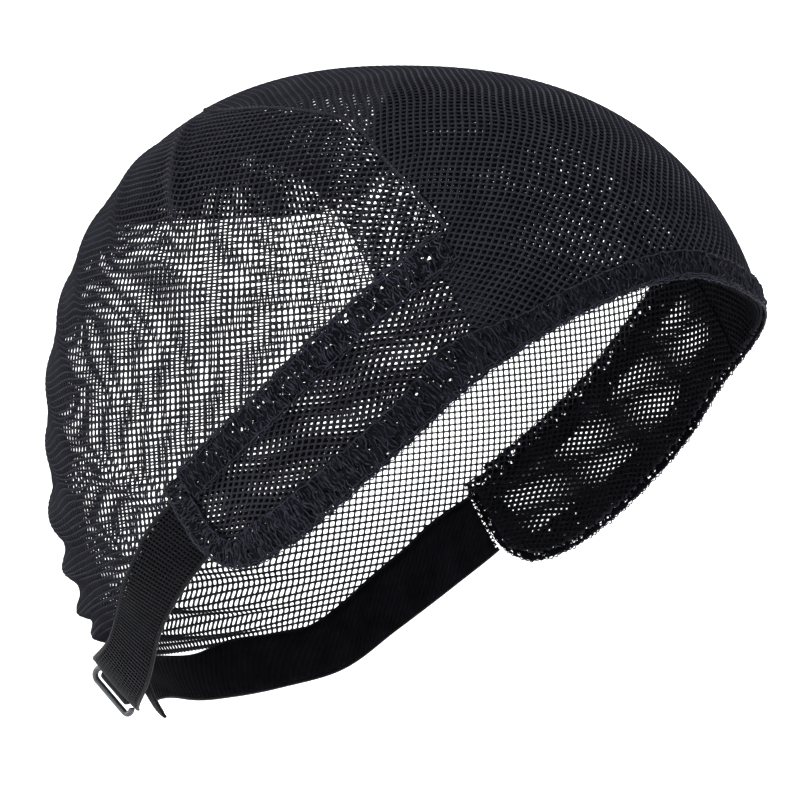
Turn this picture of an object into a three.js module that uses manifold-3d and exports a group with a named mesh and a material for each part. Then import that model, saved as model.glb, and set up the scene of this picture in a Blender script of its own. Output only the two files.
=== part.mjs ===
// Stretch-mesh wig cap with lace-edged ear tabs and a hooked nape closure, in the form that it has when worn.
// Frame: +X to the forehead, +Y to the wearer's left, +Z up, in millimetres.
// The origin is the crown seat: the inner face of the crown panel at the top of the cap.

import * as THREE from "three";
import { mergeVertices } from "three/addons/utils/BufferGeometryUtils.js";
import Module from "manifold-3d";

// Cap form, measured to the inner face of the panels
const frontReach = 98;
const backReach = 92;
const halfWidth = 77.5;
const crownHeight = 92;
const profileFullness = 2.3;
const sideFullness = 2.5;
const napeTaper = 0.07;

// Cloth walls and the clearances between layers and at seams
const panelWall = 1;
const liningWall = 1;
const laceWall = 1;
const liningGap = 0.5;
const laceGap = 0.3;
const seamGap = 0.4;
const liningInset = 1.5;

// Lace elastic
const bandLaceWidth = 8.5;
const browLaceWidth = 6.5;
const templeLaceWidth = 11;
const sideLaceWidth = 9;
const tabEndLaceWidth = 6;
const laceOverhang = 0.8;

// Nape closure
const endFlare = 5.4;
const looseFlare = 4;
const hookFoldRadius = 2;
const hookFoldBore = 1.1;
const hookFoldLength = 10.4;
const hookFoldGrip = 0.5;
const hookWire = 1.6;
const hookThroat = 3.8;
const hookLength = 11.6;
const hookTilt = 60;
const hookCurlRadius = 1.4;
const hookCurlTurn = 140;
const loopWidth = 4;
const loopRise = 2;
const loopPlace = 160;
const loopTop = 129.6;
const loopBottom = 136.4;

// Height of the wrinkles in the net, and their half width where they are sharpest
const wrinkleHeight = 1.8;
const wrinkleHalfWidth = 4.2;
const wrinkleFade = 4;

// Mesh density of the cloth pieces
const seamColumns = 44;
const panelRows = 12;
const netRows = 26;

// Lines on the form. Each row is an angle round from the forehead and an angle down from the crown, in
// degrees. The right side is listed from front to back, and the left side mirrors it where it isn't listed.
const crownSeam = [
  { round: 51, down: 56.5 },
  { round: 62.5, down: 43.8 },
  { round: 74.5, down: 33.8 },
  { round: 96.5, down: 30.3 },
  { round: 130, down: 31 },
  { round: 158, down: 31 },
  { round: 180, down: 31 },
];

const bandLine = [
  { round: 51.3, down: 59.2 },
  { round: 67.7, down: 70.3 },
  { round: 86.2, down: 86.3 },
  { round: 105, down: 101 },
];

const netBandStart = { round: 54, down: 61 };

const napeSeam = [
  { round: 113.5, down: 106.8 },
  { round: 118.5, down: 111.2 },
  { round: 125.5, down: 116.4 },
  { round: 132.5, down: 121.6 },
  { round: 139, down: 124.8 },
  { round: 156.5, down: 126.2 },
];

const napeSeamStart = { round: 106, down: 101.9 };
const netCentreHem = { round: 180, down: 127.5 };

const browHem = [
  { round: 40, right: 75.8, left: 77 },
  { round: 28.5, right: 70.6, left: 73.2 },
  { round: 17, right: 67.5, left: 70.8 },
  { round: 8, right: 66.8, left: 69.6 },
  { round: 0, right: 68, left: 68 },
];

const sideHem = [
  { round: 48.5, down: 81.4 },
  { round: 58.5, down: 90.6 },
  { round: 69, down: 100 },
  { round: 81, down: 109 },
  { round: 90, down: 112.6 },
];

const tabCorner = { round: 97.5, down: 111.9 };

const laceTurn = [
  { round: 90, down: 112.9 },
  { round: 95, down: 112.8 },
  { round: 100, down: 109.9 },
  { round: 103.6, down: 105 },
  { round: 107.2, down: 99.2 },
];

const napeHem = [
  { round: 99.8, down: 111.9 },
  { round: 109.5, down: 118.9 },
  { round: 121, down: 126.4 },
  { round: 133, down: 133.2 },
  { round: 151, down: 136.4 },
];

// The loose end of the left band, which passes the centre back and lies inside the right band
const looseUpper = [
  { round: 168, down: 128.7 },
  { round: 185, down: 129 },
  { round: 208, down: 129.2 },
  { round: 226, down: 129 },
];
const looseLower = [
  { round: 180, down: 138.6 },
  { round: 196, down: 137.2 },
  { round: 205, down: 137.4 },
  { round: 213, down: 140.2 },
];

const liningRearEdge = [
  { round: 51.5, down: 56.2 },
  { round: 58, down: 48.6 },
  { round: 66, down: 39.2 },
  { round: 64.5, down: 28 },
  { round: 50, down: 16 },
  { round: 0, down: 9.7 },
];

const facingEdge = [
  { round: 64.5, down: 63 },
  { round: 71, down: 53.5 },
  { round: 81, down: 45.5 },
  { round: 93.5, down: 41 },
  { round: 117.5, down: 42 },
  { round: 139, down: 51 },
  { round: 180, down: 55 },
];

// Wrinkles in the net: chevrons that fall from the centre back, then the ruffles above the nape.
// The height is a share of wrinkleHeight and the half width a share of wrinkleHalfWidth.
const wrinkles = [
  { fromRound: 140, fromDown: 34, toRound: 106, toDown: 61, height: 0.7, halfWidth: 0.7 },
  { fromRound: 168, fromDown: 40, toRound: 124, toDown: 63, height: 0.9, halfWidth: 1 },
  { fromRound: 172, fromDown: 50, toRound: 131, toDown: 74, height: 0.8, halfWidth: 1 },
  { fromRound: 174, fromDown: 61, toRound: 132, toDown: 82, height: 0.9, halfWidth: 1 },
  { fromRound: 176, fromDown: 72, toRound: 132, toDown: 93, height: 1, halfWidth: 1 },
  { fromRound: 178, fromDown: 83, toRound: 130, toDown: 102, height: 0.8, halfWidth: 1 },
  { fromRound: 178, fromDown: 95, toRound: 136, toDown: 109, height: 1.2, halfWidth: 1 },
  { fromRound: 180, fromDown: 107, toRound: 128, toDown: 113, height: 1, halfWidth: 0.9 },
  { fromRound: 180, fromDown: 115.5, toRound: 130, toDown: 117.5, height: 1.5, halfWidth: 0.75 },
  { fromRound: 180, fromDown: 121.5, toRound: 138, toDown: 121.5, height: 1.2, halfWidth: 0.7 },
];

const meshBlack = { color: 0x101016, roughness: 0.85, metalness: 0 };
const laceBlack = { color: 0x14141c, roughness: 0.7, metalness: 0 };
const darkMetal = { color: 0x15171c, roughness: 0.3, metalness: 0.6 };

const degree = Math.PI / 180;
const right = -1;
const left = 1;

const wasm = await Module();
wasm.setup();

// The cap form

// Unit direction from the middle of the form, from an angle round and an angle down
function directionAt(side, round, down) {
  const level = Math.sin(down * degree);
  return new THREE.Vector3(
    level * Math.cos(round * degree),
    side * level * Math.sin(round * degree),
    Math.cos(down * degree),
  );
}

// Sum of two shares to a power, which makes the rounded-square curve of a full section
function fullness(first, second, power) {
  return Math.pow(Math.pow(first, power) + Math.pow(second, power), 1 / power);
}

// Distance from the middle of the form to its surface along a unit direction
function formRadius(direction) {
  const level = Math.hypot(direction.x, direction.y);
  const reach = direction.x > 0 ? frontReach : backReach;
  const height = Math.abs(direction.z) / crownHeight;
  const lengthways = fullness(level / reach, height, profileFullness);
  const sideways = fullness(level / halfWidth, height, sideFullness);
  const turn = Math.atan2(direction.y, direction.x);
  const taper = 1 - napeTaper * Math.max(-direction.z, 0);
  return taper / Math.hypot(Math.cos(turn) * lengthways, Math.sin(turn) * sideways);
}

// Point on the form along a direction, moved outward by an offset
function formPoint(direction, offset) {
  const point = direction.clone().multiplyScalar(formRadius(direction) + offset);
  point.z -= crownHeight;
  return point;
}

// Lines on the form

function directionsOf(side, rows) {
  return rows.map((row) => directionAt(side, row.round, row.down));
}

// Even steps along a smooth line through directions, as a function of a share from 0 to 1
function lineThrough(directions) {
  const curve = new THREE.CatmullRomCurve3(directions);
  return (share) => curve.getPointAt(THREE.MathUtils.clamp(share, 0, 1)).normalize();
}

// Line from the right side over the middle to the left side; the last row lies on the middle plane
function lineAcross(rows) {
  const rightHalf = directionsOf(right, rows);
  const leftHalf = directionsOf(left, rows.slice(0, -1)).reverse();
  return lineThrough([...rightHalf, ...leftHalf]);
}

function browDirections() {
  const rightHalf = browHem.map((row) => directionAt(right, row.round, row.right));
  const leftHalf = browHem.slice(0, -1).map((row) => directionAt(left, row.round, row.left));
  return [...rightHalf, ...leftHalf.reverse()];
}

// Side hem from the end of the brow hem back to the corner of the ear tab
function sideHemDirections(side) {
  const brow = browHem[0];
  const start = directionAt(side, brow.round, side === right ? brow.right : brow.left);
  return [start, ...directionsOf(side, [...sideHem, tabCorner])];
}

// Solids from patches of the form

// Closed body of two grids of points, an inner and an outer one, joined round their rim
function wallBetween(columns, rows, innerPoint, outerPoint) {
  const positions = [];
  for (const pointAt of [innerPoint, outerPoint]) {
    for (let column = 0; column <= columns; column += 1) {
      for (let row = 0; row <= rows; row += 1) {
        positions.push(...pointAt(column, row).toArray());
      }
    }
  }
  const layerSize = (columns + 1) * (rows + 1);
  const vertex = (layer, column, row) => layer * layerSize + column * (rows + 1) + row;
  const triangles = [];
  const addQuad = (a, b, c, d) => triangles.push(a, b, c, a, c, d);
  for (let column = 0; column < columns; column += 1) {
    for (let row = 0; row < rows; row += 1) {
      const [a, b, c, d] = [[0, 0], [1, 0], [1, 1], [0, 1]]
        .map(([stepColumn, stepRow]) => vertex(1, column + stepColumn, row + stepRow));
      addQuad(a, b, c, d);
      addQuad(d - layerSize, c - layerSize, b - layerSize, a - layerSize);
    }
  }
  for (let column = 0; column < columns; column += 1) {
    addQuad(vertex(0, column, 0), vertex(0, column + 1, 0), vertex(1, column + 1, 0), vertex(1, column, 0));
    addQuad(
      vertex(1, column, rows), vertex(1, column + 1, rows),
      vertex(0, column + 1, rows), vertex(0, column, rows),
    );
  }
  for (let row = 0; row < rows; row += 1) {
    addQuad(vertex(1, 0, row), vertex(1, 0, row + 1), vertex(0, 0, row + 1), vertex(0, 0, row));
    addQuad(
      vertex(0, columns, row), vertex(0, columns, row + 1),
      vertex(1, columns, row + 1), vertex(1, columns, row),
    );
  }
  const geometry = new THREE.BufferGeometry();
  geometry.setAttribute("position", new THREE.Float32BufferAttribute(positions, 3));
  geometry.setIndex(triangles);
  return facingOut(geometry);
}

// Turns the triangles round where the body's signed volume says that they face inward
function facingOut(geometry) {
  const position = geometry.getAttribute("position");
  const index = geometry.getIndex();
  const corners = [new THREE.Vector3(), new THREE.Vector3(), new THREE.Vector3()];
  let volume = 0;
  for (let first = 0; first < index.count; first += 3) {
    corners.forEach((corner, number) => corner.fromBufferAttribute(position, index.getX(first + number)));
    volume += corners[0].dot(corners[1].clone().cross(corners[2]));
  }
  if (volume < 0) {
    const reversed = Array.from(index.array).reverse();
    geometry.setIndex(reversed);
  }
  geometry.computeVertexNormals();
  return geometry;
}

// Patch of cloth between a lower and an upper line. Trims are lengths cut back from its four edges, spacing
// bends the even steps between the lines, and lift adds to the offset at a direction and shares along it.
function clothPatch({ lower, upper, columns, rows, offset, wall, trim = {}, spacing = (share) => share, lift }) {
  const { start = 0, end = 0, low = 0, high = 0 } = trim;
  const length = lengthOf(lower, columns);
  const directions = [];
  for (let column = 0; column <= columns; column += 1) {
    const along = THREE.MathUtils.lerp(start / length, 1 - end / length, column / columns);
    const bottom = lower(along);
    const top = upper(along);
    const width = formPoint(bottom, offset).distanceTo(formPoint(top, offset));
    const line = [];
    for (let row = 0; row <= rows; row += 1) {
      const across = THREE.MathUtils.lerp(low / width, 1 - high / width, spacing(row / rows));
      const direction = bottom.clone().lerp(top, across).normalize();
      line.push({ direction, offset: offset + (lift ? lift(direction, along, across) : 0) });
    }
    directions.push(line);
  }
  const pointAt = (column, row, extra) => {
    const place = directions[column][row];
    return formPoint(place.direction, place.offset + extra);
  };
  return wallBetween(
    columns,
    rows,
    (column, row) => pointAt(column, row, 0),
    (column, row) => pointAt(column, row, wall),
  );
}

function lengthOf(line, steps) {
  let length = 0;
  for (let step = 0; step < steps; step += 1) {
    length += formPoint(line(step / steps), 0).distanceTo(formPoint(line((step + 1) / steps), 0));
  }
  return length;
}

// Line beside another one, moved by a width that may change along it; a positive width goes to its left
// as seen from outside
function lineBeside(line, widthAt) {
  const step = 0.002;
  return (share) => {
    const direction = line(share);
    const tangent = line(Math.min(share + step, 1)).sub(line(Math.max(share - step, 0)));
    const sideways = direction.clone().cross(tangent).normalize();
    return direction.addScaledVector(sideways, widthAt(share) / formRadius(direction)).normalize();
  };
}

// Smooth value between rows of a share and a width
function widthThrough(rows) {
  return (share) => {
    const next = rows.findIndex((row, number) => number > 0 && share <= row.share);
    const [from, to] = [rows[next - 1], rows[next]];
    return THREE.MathUtils.lerp(from.width, to.width, THREE.MathUtils.smoothstep(share, from.share, to.share));
  };
}

// Panels and net

const seamLine = lineAcross(crownSeam);

function frontPanel() {
  return clothPatch({
    lower: lineThrough(browDirections()),
    upper: seamLine,
    columns: seamColumns,
    rows: panelRows,
    offset: 0,
    wall: panelWall,
    trim: { high: seamGap / 2 },
  });
}

function frontLining() {
  return clothPatch({
    lower: lineThrough(browDirections()),
    upper: lineAcross(liningRearEdge),
    columns: 28,
    rows: 7,
    offset: -liningGap - liningWall,
    wall: liningWall,
    trim: { high: liningInset },
  });
}

// Outward rise of the net at a direction: each wrinkle is a rounded ridge along a great-circle arc that
// fades at both ends
function wrinkleRise(direction) {
  let rise = 0;
  for (const side of [right, left]) {
    for (const wrinkle of wrinkles) {
      rise = Math.max(rise, ridgeRise(direction, side, wrinkle));
    }
  }
  return rise;
}

function ridgeRise(direction, side, wrinkle) {
  const from = directionAt(side, wrinkle.fromRound, wrinkle.fromDown);
  const to = directionAt(side, wrinkle.toRound, wrinkle.toDown);
  const pole = from.clone().cross(to).normalize();
  const forward = pole.clone().cross(from);
  const radius = formRadius(direction);
  const away = Math.asin(direction.dot(pole)) * radius;
  const along = Math.atan2(direction.dot(forward), direction.dot(from)) / from.angleTo(to);
  const fade = THREE.MathUtils.smoothstep(along, -0.15, 0.1) * (1 - THREE.MathUtils.smoothstep(along, 0.6, 1.05));
  const spread = away / (wrinkle.halfWidth * wrinkleHalfWidth);
  return wrinkle.height * wrinkleHeight * fade * Math.exp(-spread * spread);
}

function backNet() {
  const bandPart = [netBandStart, ...bandLine.slice(1)];
  const lowerEdge = lineAcross([...bandPart, ...napeSeam, netCentreHem]);
  const bunched = (share) => Math.pow(share, 1.4);
  return clothPatch({
    lower: lowerEdge,
    upper: seamLine,
    columns: seamColumns,
    rows: netRows,
    offset: 0,
    wall: panelWall,
    trim: { low: seamGap / 2, high: seamGap / 2 },
    spacing: bunched,
    lift: (direction, along, across) => {
      const fromEdge = Math.min(across, 1 - across) * formRadius(direction);
      return wrinkleRise(direction) * THREE.MathUtils.smoothstep(fromEdge, 0, wrinkleFade);
    },
  });
}

function crownFacing() {
  return clothPatch({
    lower: lineAcross(facingEdge),
    upper: seamLine,
    columns: 40,
    rows: 3,
    offset: -liningGap - liningWall,
    wall: liningWall,
    trim: { high: seamGap },
  });
}

// Ear tabs and lace

function sideTab(side) {
  return clothPatch({
    lower: lineThrough(sideHemDirections(side)),
    upper: lineThrough(directionsOf(side, bandLine)),
    columns: 16,
    rows: 4,
    offset: 0,
    wall: panelWall,
    trim: { start: seamGap, high: seamGap / 2 },
  });
}

// Diagonal band, which ends where the hem lace comes up round the tab
function laceBand(side) {
  const centre = lineThrough(directionsOf(side, bandLine));
  const half = () => bandLaceWidth / 2;
  return clothPatch({
    lower: lineBeside(centre, (share) => -half(share)),
    upper: lineBeside(centre, half),
    columns: 18,
    rows: 1,
    offset: panelWall + laceGap,
    wall: laceWall,
    trim: { end: tabEndLaceWidth + laceGap + laceOverhang },
  });
}

// Hem lace from one ear tab's end, round the tab, along the side and the brow, to the other tab's end
function hemLace() {
  const oneSide = (side) => [
    ...directionsOf(side, laceTurn).reverse(),
    ...directionsOf(side, sideHem.slice(0, -1)).reverse(),
  ];
  const edge = lineThrough([...oneSide(right), ...browDirections(), ...oneSide(left).reverse()]);
  const halfRows = [
    { share: 0, width: tabEndLaceWidth },
    { share: 0.07, width: tabEndLaceWidth },
    { share: 0.12, width: sideLaceWidth },
    { share: 0.26, width: sideLaceWidth },
    { share: 0.3, width: templeLaceWidth },
    { share: 0.36, width: browLaceWidth },
    { share: 0.5, width: browLaceWidth },
  ];
  const widthAt = widthThrough(halfRows);
  return clothPatch({
    lower: lineBeside(edge, () => -laceOverhang),
    upper: lineBeside(edge, (share) => widthAt(Math.min(share, 1 - share))),
    columns: 72,
    rows: 1,
    offset: panelWall + laceGap,
    wall: laceWall,
  });
}

// Nape bands, with the folded end that holds the hook

const rightNapeUpper = lineThrough(directionsOf(right, [napeSeamStart, ...napeSeam]));
const rightNapeLower = lineThrough(directionsOf(right, napeHem));

function rightBandPatch() {
  return clothPatch({
    lower: rightNapeLower,
    upper: rightNapeUpper,
    columns: 22,
    rows: 2,
    offset: 0,
    wall: panelWall,
    trim: { high: seamGap / 2 },
    lift: (direction, along) => endFlare * THREE.MathUtils.smoothstep(along, 0.5, 1),
  });
}

// Frame of the right band's cut end: along it, outward from the band, away from the wearer, and the middle
// of the hook's fold
function bandEndFrame() {
  const middleOffset = endFlare + panelWall / 2;
  const top = formPoint(rightNapeUpper(1), middleOffset);
  const bottom = formPoint(rightNapeLower(1), middleOffset);
  const middle = top.clone().lerp(bottom, 0.5);
  const along = bottom.clone().sub(top).normalize();
  const inside = formPoint(rightNapeUpper(0.9).lerp(rightNapeLower(0.9), 0.5).normalize(), middleOffset);
  const outward = middle.clone().sub(inside);
  outward.addScaledVector(along, -outward.dot(along)).normalize();
  const away = along.clone().cross(outward);
  away.multiplyScalar(Math.sign(away.dot(middle.clone().setZ(0))));
  middle.addScaledVector(outward, hookFoldRadius - hookFoldGrip);
  return { middle, along, outward, away };
}

function rightNapeBand() {
  const { middle, along, outward } = bandEndFrame();
  const ring = new THREE.Shape().absarc(0, 0, hookFoldRadius, 0, 2 * Math.PI);
  ring.holes.push(new THREE.Path().absarc(0, 0, hookFoldBore, 0, 2 * Math.PI));
  const fold = new THREE.ExtrudeGeometry(ring, { depth: hookFoldLength, bevelEnabled: false, curveSegments: 6 });
  fold.translate(0, 0, -hookFoldLength / 2);
  const across = along.clone().cross(outward);
  fold.applyMatrix4(new THREE.Matrix4().makeBasis(outward, across, along).setPosition(middle));
  return joined(rightBandPatch(), fold);
}

// The left band follows its side of the net, then runs on as a loose end inside the right band. The lower
// corner of the loose end bends out from under the right band.
function leftNapeBand() {
  const upperRows = [napeSeamStart, ...napeSeam, ...looseUpper];
  const lowerRows = [...napeHem, ...looseLower];
  const inward = (share) => -(liningGap + liningWall) * THREE.MathUtils.smoothstep(share, 0.5, 0.68);
  return clothPatch({
    lower: lineThrough(directionsOf(left, lowerRows)),
    upper: lineThrough(directionsOf(left, upperRows)),
    columns: 36,
    rows: 2,
    offset: 0,
    wall: panelWall,
    trim: { high: seamGap / 2 },
    lift: (direction, along, across) => {
      const outward = looseFlare * (1 - across) * THREE.MathUtils.smoothstep(along, 0.8, 1);
      return inward(along) + outward;
    },
  });
}

// Hook of bent wire: an inner bar in the band's fold, an outer bar beside it and a curled free end. It
// hangs turned about its inner bar, away from the wearer.
function napeHook() {
  const { middle, along, outward, away } = bandEndFrame();
  const hanging = outward.clone().multiplyScalar(Math.cos(hookTilt * degree));
  hanging.addScaledVector(away, Math.sin(hookTilt * degree));
  const place = (lengthways, reach) => middle.clone()
    .addScaledVector(along, lengthways)
    .addScaledVector(hanging, reach);
  const halfBar = hookLength / 2;
  const path = new THREE.CurvePath();
  path.add(new THREE.LineCurve3(place(halfBar - hookWire / 2, 0), place(-halfBar, 0)));
  const bendRadius = hookThroat / 2;
  addArc(path, (turn) => place(-halfBar - bendRadius * Math.sin(turn), bendRadius - bendRadius * Math.cos(turn)), Math.PI);
  path.add(new THREE.LineCurve3(place(-halfBar, hookThroat), place(halfBar, hookThroat)));
  const curlCentre = hookThroat - hookCurlRadius;
  addArc(
    path,
    (turn) => place(halfBar + hookCurlRadius * Math.sin(turn), curlCentre + hookCurlRadius * Math.cos(turn)),
    hookCurlTurn * degree,
  );
  const section = new THREE.Shape().absarc(0, 0, hookWire / 2, 0, 2 * Math.PI);
  return new THREE.ExtrudeGeometry(section, { extrudePath: path, steps: 40, curveSegments: 4 });
}

function addArc(path, pointAt, wholeTurn) {
  const steps = 6;
  for (let step = 0; step < steps; step += 1) {
    const from = pointAt((wholeTurn * step) / steps);
    const to = pointAt((wholeTurn * (step + 1)) / steps);
    path.add(new THREE.LineCurve3(from, to));
  }
}

// Raised loop across the left band near the centre back, which takes the hook
function hookLoop() {
  const nearTop = directionAt(left, loopPlace, loopTop);
  const nearBottom = directionAt(left, loopPlace, loopBottom);
  const centre = lineThrough([nearTop, nearTop.clone().lerp(nearBottom, 0.5).normalize(), nearBottom]);
  return clothPatch({
    lower: lineBeside(centre, () => -loopWidth / 2),
    upper: lineBeside(centre, () => loopWidth / 2),
    columns: 10,
    rows: 1,
    offset: panelWall + laceGap,
    wall: laceWall,
    lift: (direction, along) => loopRise * Math.sin(Math.PI * along),
  });
}

// Joining and the assembly

function manifoldOf(geometry) {
  const bare = geometry.clone();
  bare.deleteAttribute("normal");
  bare.deleteAttribute("uv");
  const merged = mergeVertices(bare, 1e-4);
  return new wasm.Manifold(new wasm.Mesh({
    numProp: 3,
    vertProperties: merged.getAttribute("position").array,
    triVerts: new Uint32Array(merged.getIndex().array),
  }));
}

function joined(first, second) {
  const mesh = manifoldOf(first).add(manifoldOf(second)).getMesh();
  const geometry = new THREE.BufferGeometry();
  geometry.setAttribute("position", new THREE.Float32BufferAttribute(mesh.vertProperties, 3));
  geometry.setIndex(Array.from(mesh.triVerts));
  return geometry;
}

const cap = new THREE.Group();

function addPiece(name, geometry, look) {
  const piece = new THREE.Mesh(geometry, new THREE.MeshStandardMaterial(look));
  piece.name = name;
  cap.add(piece);
}

addPiece("front_panel", frontPanel(), meshBlack);
addPiece("front_lining", frontLining(), meshBlack);
addPiece("back_net", backNet(), meshBlack);
addPiece("crown_facing", crownFacing(), meshBlack);
for (const [side, sideName] of [[right, "right"], [left, "left"]]) {
  addPiece(`side_tab_${sideName}`, sideTab(side), meshBlack);
  addPiece(`lace_band_${sideName}`, laceBand(side), laceBlack);
}
addPiece("hem_lace", hemLace(), laceBlack);
addPiece("nape_band_right", rightNapeBand(), meshBlack);
addPiece("nape_band_left", leftNapeBand(), meshBlack);
addPiece("nape_hook", napeHook(), darkMetal);
addPiece("hook_loop", hookLoop(), laceBlack);

export default cap;
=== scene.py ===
"""Stretch-mesh wig cap with lace-edged ear tabs and a hooked nape closure: its threads, lace and hook.

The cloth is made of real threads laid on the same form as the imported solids. Lengths are in millimetres
until a mesh is made, which is in metres, with +X to the front, +Y to the left and +Z up.
"""
import logging
import math
from collections.abc import Callable
from dataclasses import dataclass, field, replace
from enum import Enum

import bpy
import numpy as np
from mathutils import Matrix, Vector


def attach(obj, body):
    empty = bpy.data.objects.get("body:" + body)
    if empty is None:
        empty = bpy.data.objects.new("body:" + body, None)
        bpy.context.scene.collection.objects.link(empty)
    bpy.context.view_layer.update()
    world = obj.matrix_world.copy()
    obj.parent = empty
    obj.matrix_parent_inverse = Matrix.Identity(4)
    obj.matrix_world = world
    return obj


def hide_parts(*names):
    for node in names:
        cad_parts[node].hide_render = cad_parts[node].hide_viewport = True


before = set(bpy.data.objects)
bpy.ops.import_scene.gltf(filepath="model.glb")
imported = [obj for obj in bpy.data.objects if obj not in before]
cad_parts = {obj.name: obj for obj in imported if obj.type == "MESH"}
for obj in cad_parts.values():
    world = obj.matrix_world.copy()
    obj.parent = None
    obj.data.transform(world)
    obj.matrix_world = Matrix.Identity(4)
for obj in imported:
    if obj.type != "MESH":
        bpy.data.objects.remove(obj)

Array = np.ndarray
LineFunction = Callable[[Array], Array]
Rows = tuple[tuple[float, float], ...]

LOG = logging.getLogger("wig_cap")
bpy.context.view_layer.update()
METRES = 0.001


class Side(Enum):
    """The wearer's side, with the sign of Y there."""

    RIGHT = -1
    LEFT = 1

    @property
    def label(self) -> str:
        """The side as it stands in the names of pieces."""
        return self.name.lower()


# Lines on the form, as rows of degrees round from the front and degrees down from the crown
CROWN_SEAM: Rows = ((51, 56.5), (62.5, 43.8), (74.5, 33.8), (96.5, 30.3), (130, 31), (158, 31), (180, 31))
BAND_LINE: Rows = ((51.3, 59.2), (67.7, 70.3), (86.2, 86.3), (105, 101))
NET_BAND_START = (54, 61)
NAPE_SEAM: Rows = (
    (113.5, 106.8),
    (118.5, 111.2),
    (125.5, 116.4),
    (132.5, 121.6),
    (139, 124.8),
    (156.5, 126.2),
)
NET_HEM_ROW = (170, 127.2)
NAPE_SEAM_START = (106, 101.9)
NET_CENTRE_HEM = (180, 127.5)
BROW_RIGHT: Rows = ((40, 75.8), (28.5, 70.6), (17, 67.5), (8, 66.8), (0, 68))
BROW_LEFT: Rows = ((40, 77), (28.5, 73.2), (17, 70.8), (8, 69.6))
SIDE_HEM: Rows = ((48.5, 81.4), (58.5, 90.6), (69, 100), (81, 109), (90, 112.6))
TAB_CORNER = (97.5, 111.9)
LACE_TURN: Rows = ((90, 112.9), (95, 112.8), (100, 109.9), (103.6, 105), (107.2, 99.2))
NAPE_HEM: Rows = ((99.8, 111.9), (109.5, 118.9), (121, 126.4), (133, 133.2), (151, 136.4))
LOOSE_UPPER: Rows = ((168, 128.7), (185, 129), (208, 129.2), (226, 129))
LOOSE_LOWER: Rows = ((180, 138.6), (196, 137.2), (205, 137.4), (213, 140.2))
LINING_REAR_EDGE: Rows = ((51.5, 56.2), (58, 48.6), (66, 39.2), (64.5, 28), (50, 16), (0, 9.7))
FACING_EDGE: Rows = ((64.5, 63), (71, 53.5), (81, 45.5), (93.5, 41), (117.5, 42), (139, 51), (180, 55))


def unit(vectors: Array) -> Array:
    """Vectors divided by their lengths."""
    return vectors / np.maximum(np.linalg.norm(vectors, axis=-1, keepdims=True), 1e-12)


def smooth_step(value: Array, low: float, high: float) -> Array:
    """Smooth rise from 0 at low to 1 at high: 3 t squared less 2 t cubed."""
    share = np.clip((value - low) / (high - low), 0.0, 1.0)
    return share * share * (3.0 - 2.0 * share)


def direction_at(side: Side, turn: Array, down: Array) -> Array:
    """Unit directions from the middle of the form.

    The level part is sin(down); X is that times cos(round), Y that times sin(round) and the side's sign,
    and Z is cos(down).

    Args:
        side: The side that the angles are measured on.
        turn: Degrees round from the front.
        down: Degrees down from the crown.

    Returns:
        Directions, with the three parts along the last axis.
    """
    level = np.sin(np.radians(down))
    turned = np.radians(turn)
    parts = [level * np.cos(turned), side.value * level * np.sin(turned), np.cos(np.radians(down))]
    return np.stack(parts, axis=-1)


def directions_of(side: Side, rows: Rows) -> Array:
    """Directions of a table's rows on one side."""
    table = np.array(rows, dtype=float)
    return direction_at(side, table[:, 0], table[:, 1])


@dataclass(frozen=True)
class CapForm:
    """Rounded form that the cap is worn on, measured to the inner face of its cloth."""

    front_reach: float = 98.0
    back_reach: float = 92.0
    half_width: float = 77.5
    crown_height: float = 92.0
    profile_fullness: float = 2.3
    side_fullness: float = 2.5
    nape_taper: float = 0.07

    def radius(self, direction: Array) -> Array:
        """Distance from the middle of the form to its surface.

        Each of the two sections is a rounded square, 1 over the power sum of the level share and the
        height share, and the turn round the cap blends them as an ellipse blends its half axes.

        Args:
            direction: Unit directions.

        Returns:
            Distances in millimetres.
        """
        level = np.hypot(direction[..., 0], direction[..., 1])
        reach = np.where(direction[..., 0] > 0, self.front_reach, self.back_reach)
        height = np.abs(direction[..., 2]) / self.crown_height
        profile, side = self.profile_fullness, self.side_fullness
        lengthways = ((level / reach) ** profile + height**profile) ** (1 / profile)
        sideways = ((level / self.half_width) ** side + height**side) ** (1 / side)
        safe = np.maximum(level, 1e-9)
        taper = 1 - self.nape_taper * np.maximum(-direction[..., 2], 0.0)
        return taper / np.hypot(direction[..., 0] / safe * lengthways, direction[..., 1] / safe * sideways)

    def point(self, direction: Array, offset: Array | float) -> Array:
        """Points on the form along directions, moved outward by an offset."""
        reach = self.radius(direction) + offset
        return direction * reach[..., None] - np.array([0.0, 0.0, self.crown_height])


FORM = CapForm()


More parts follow.
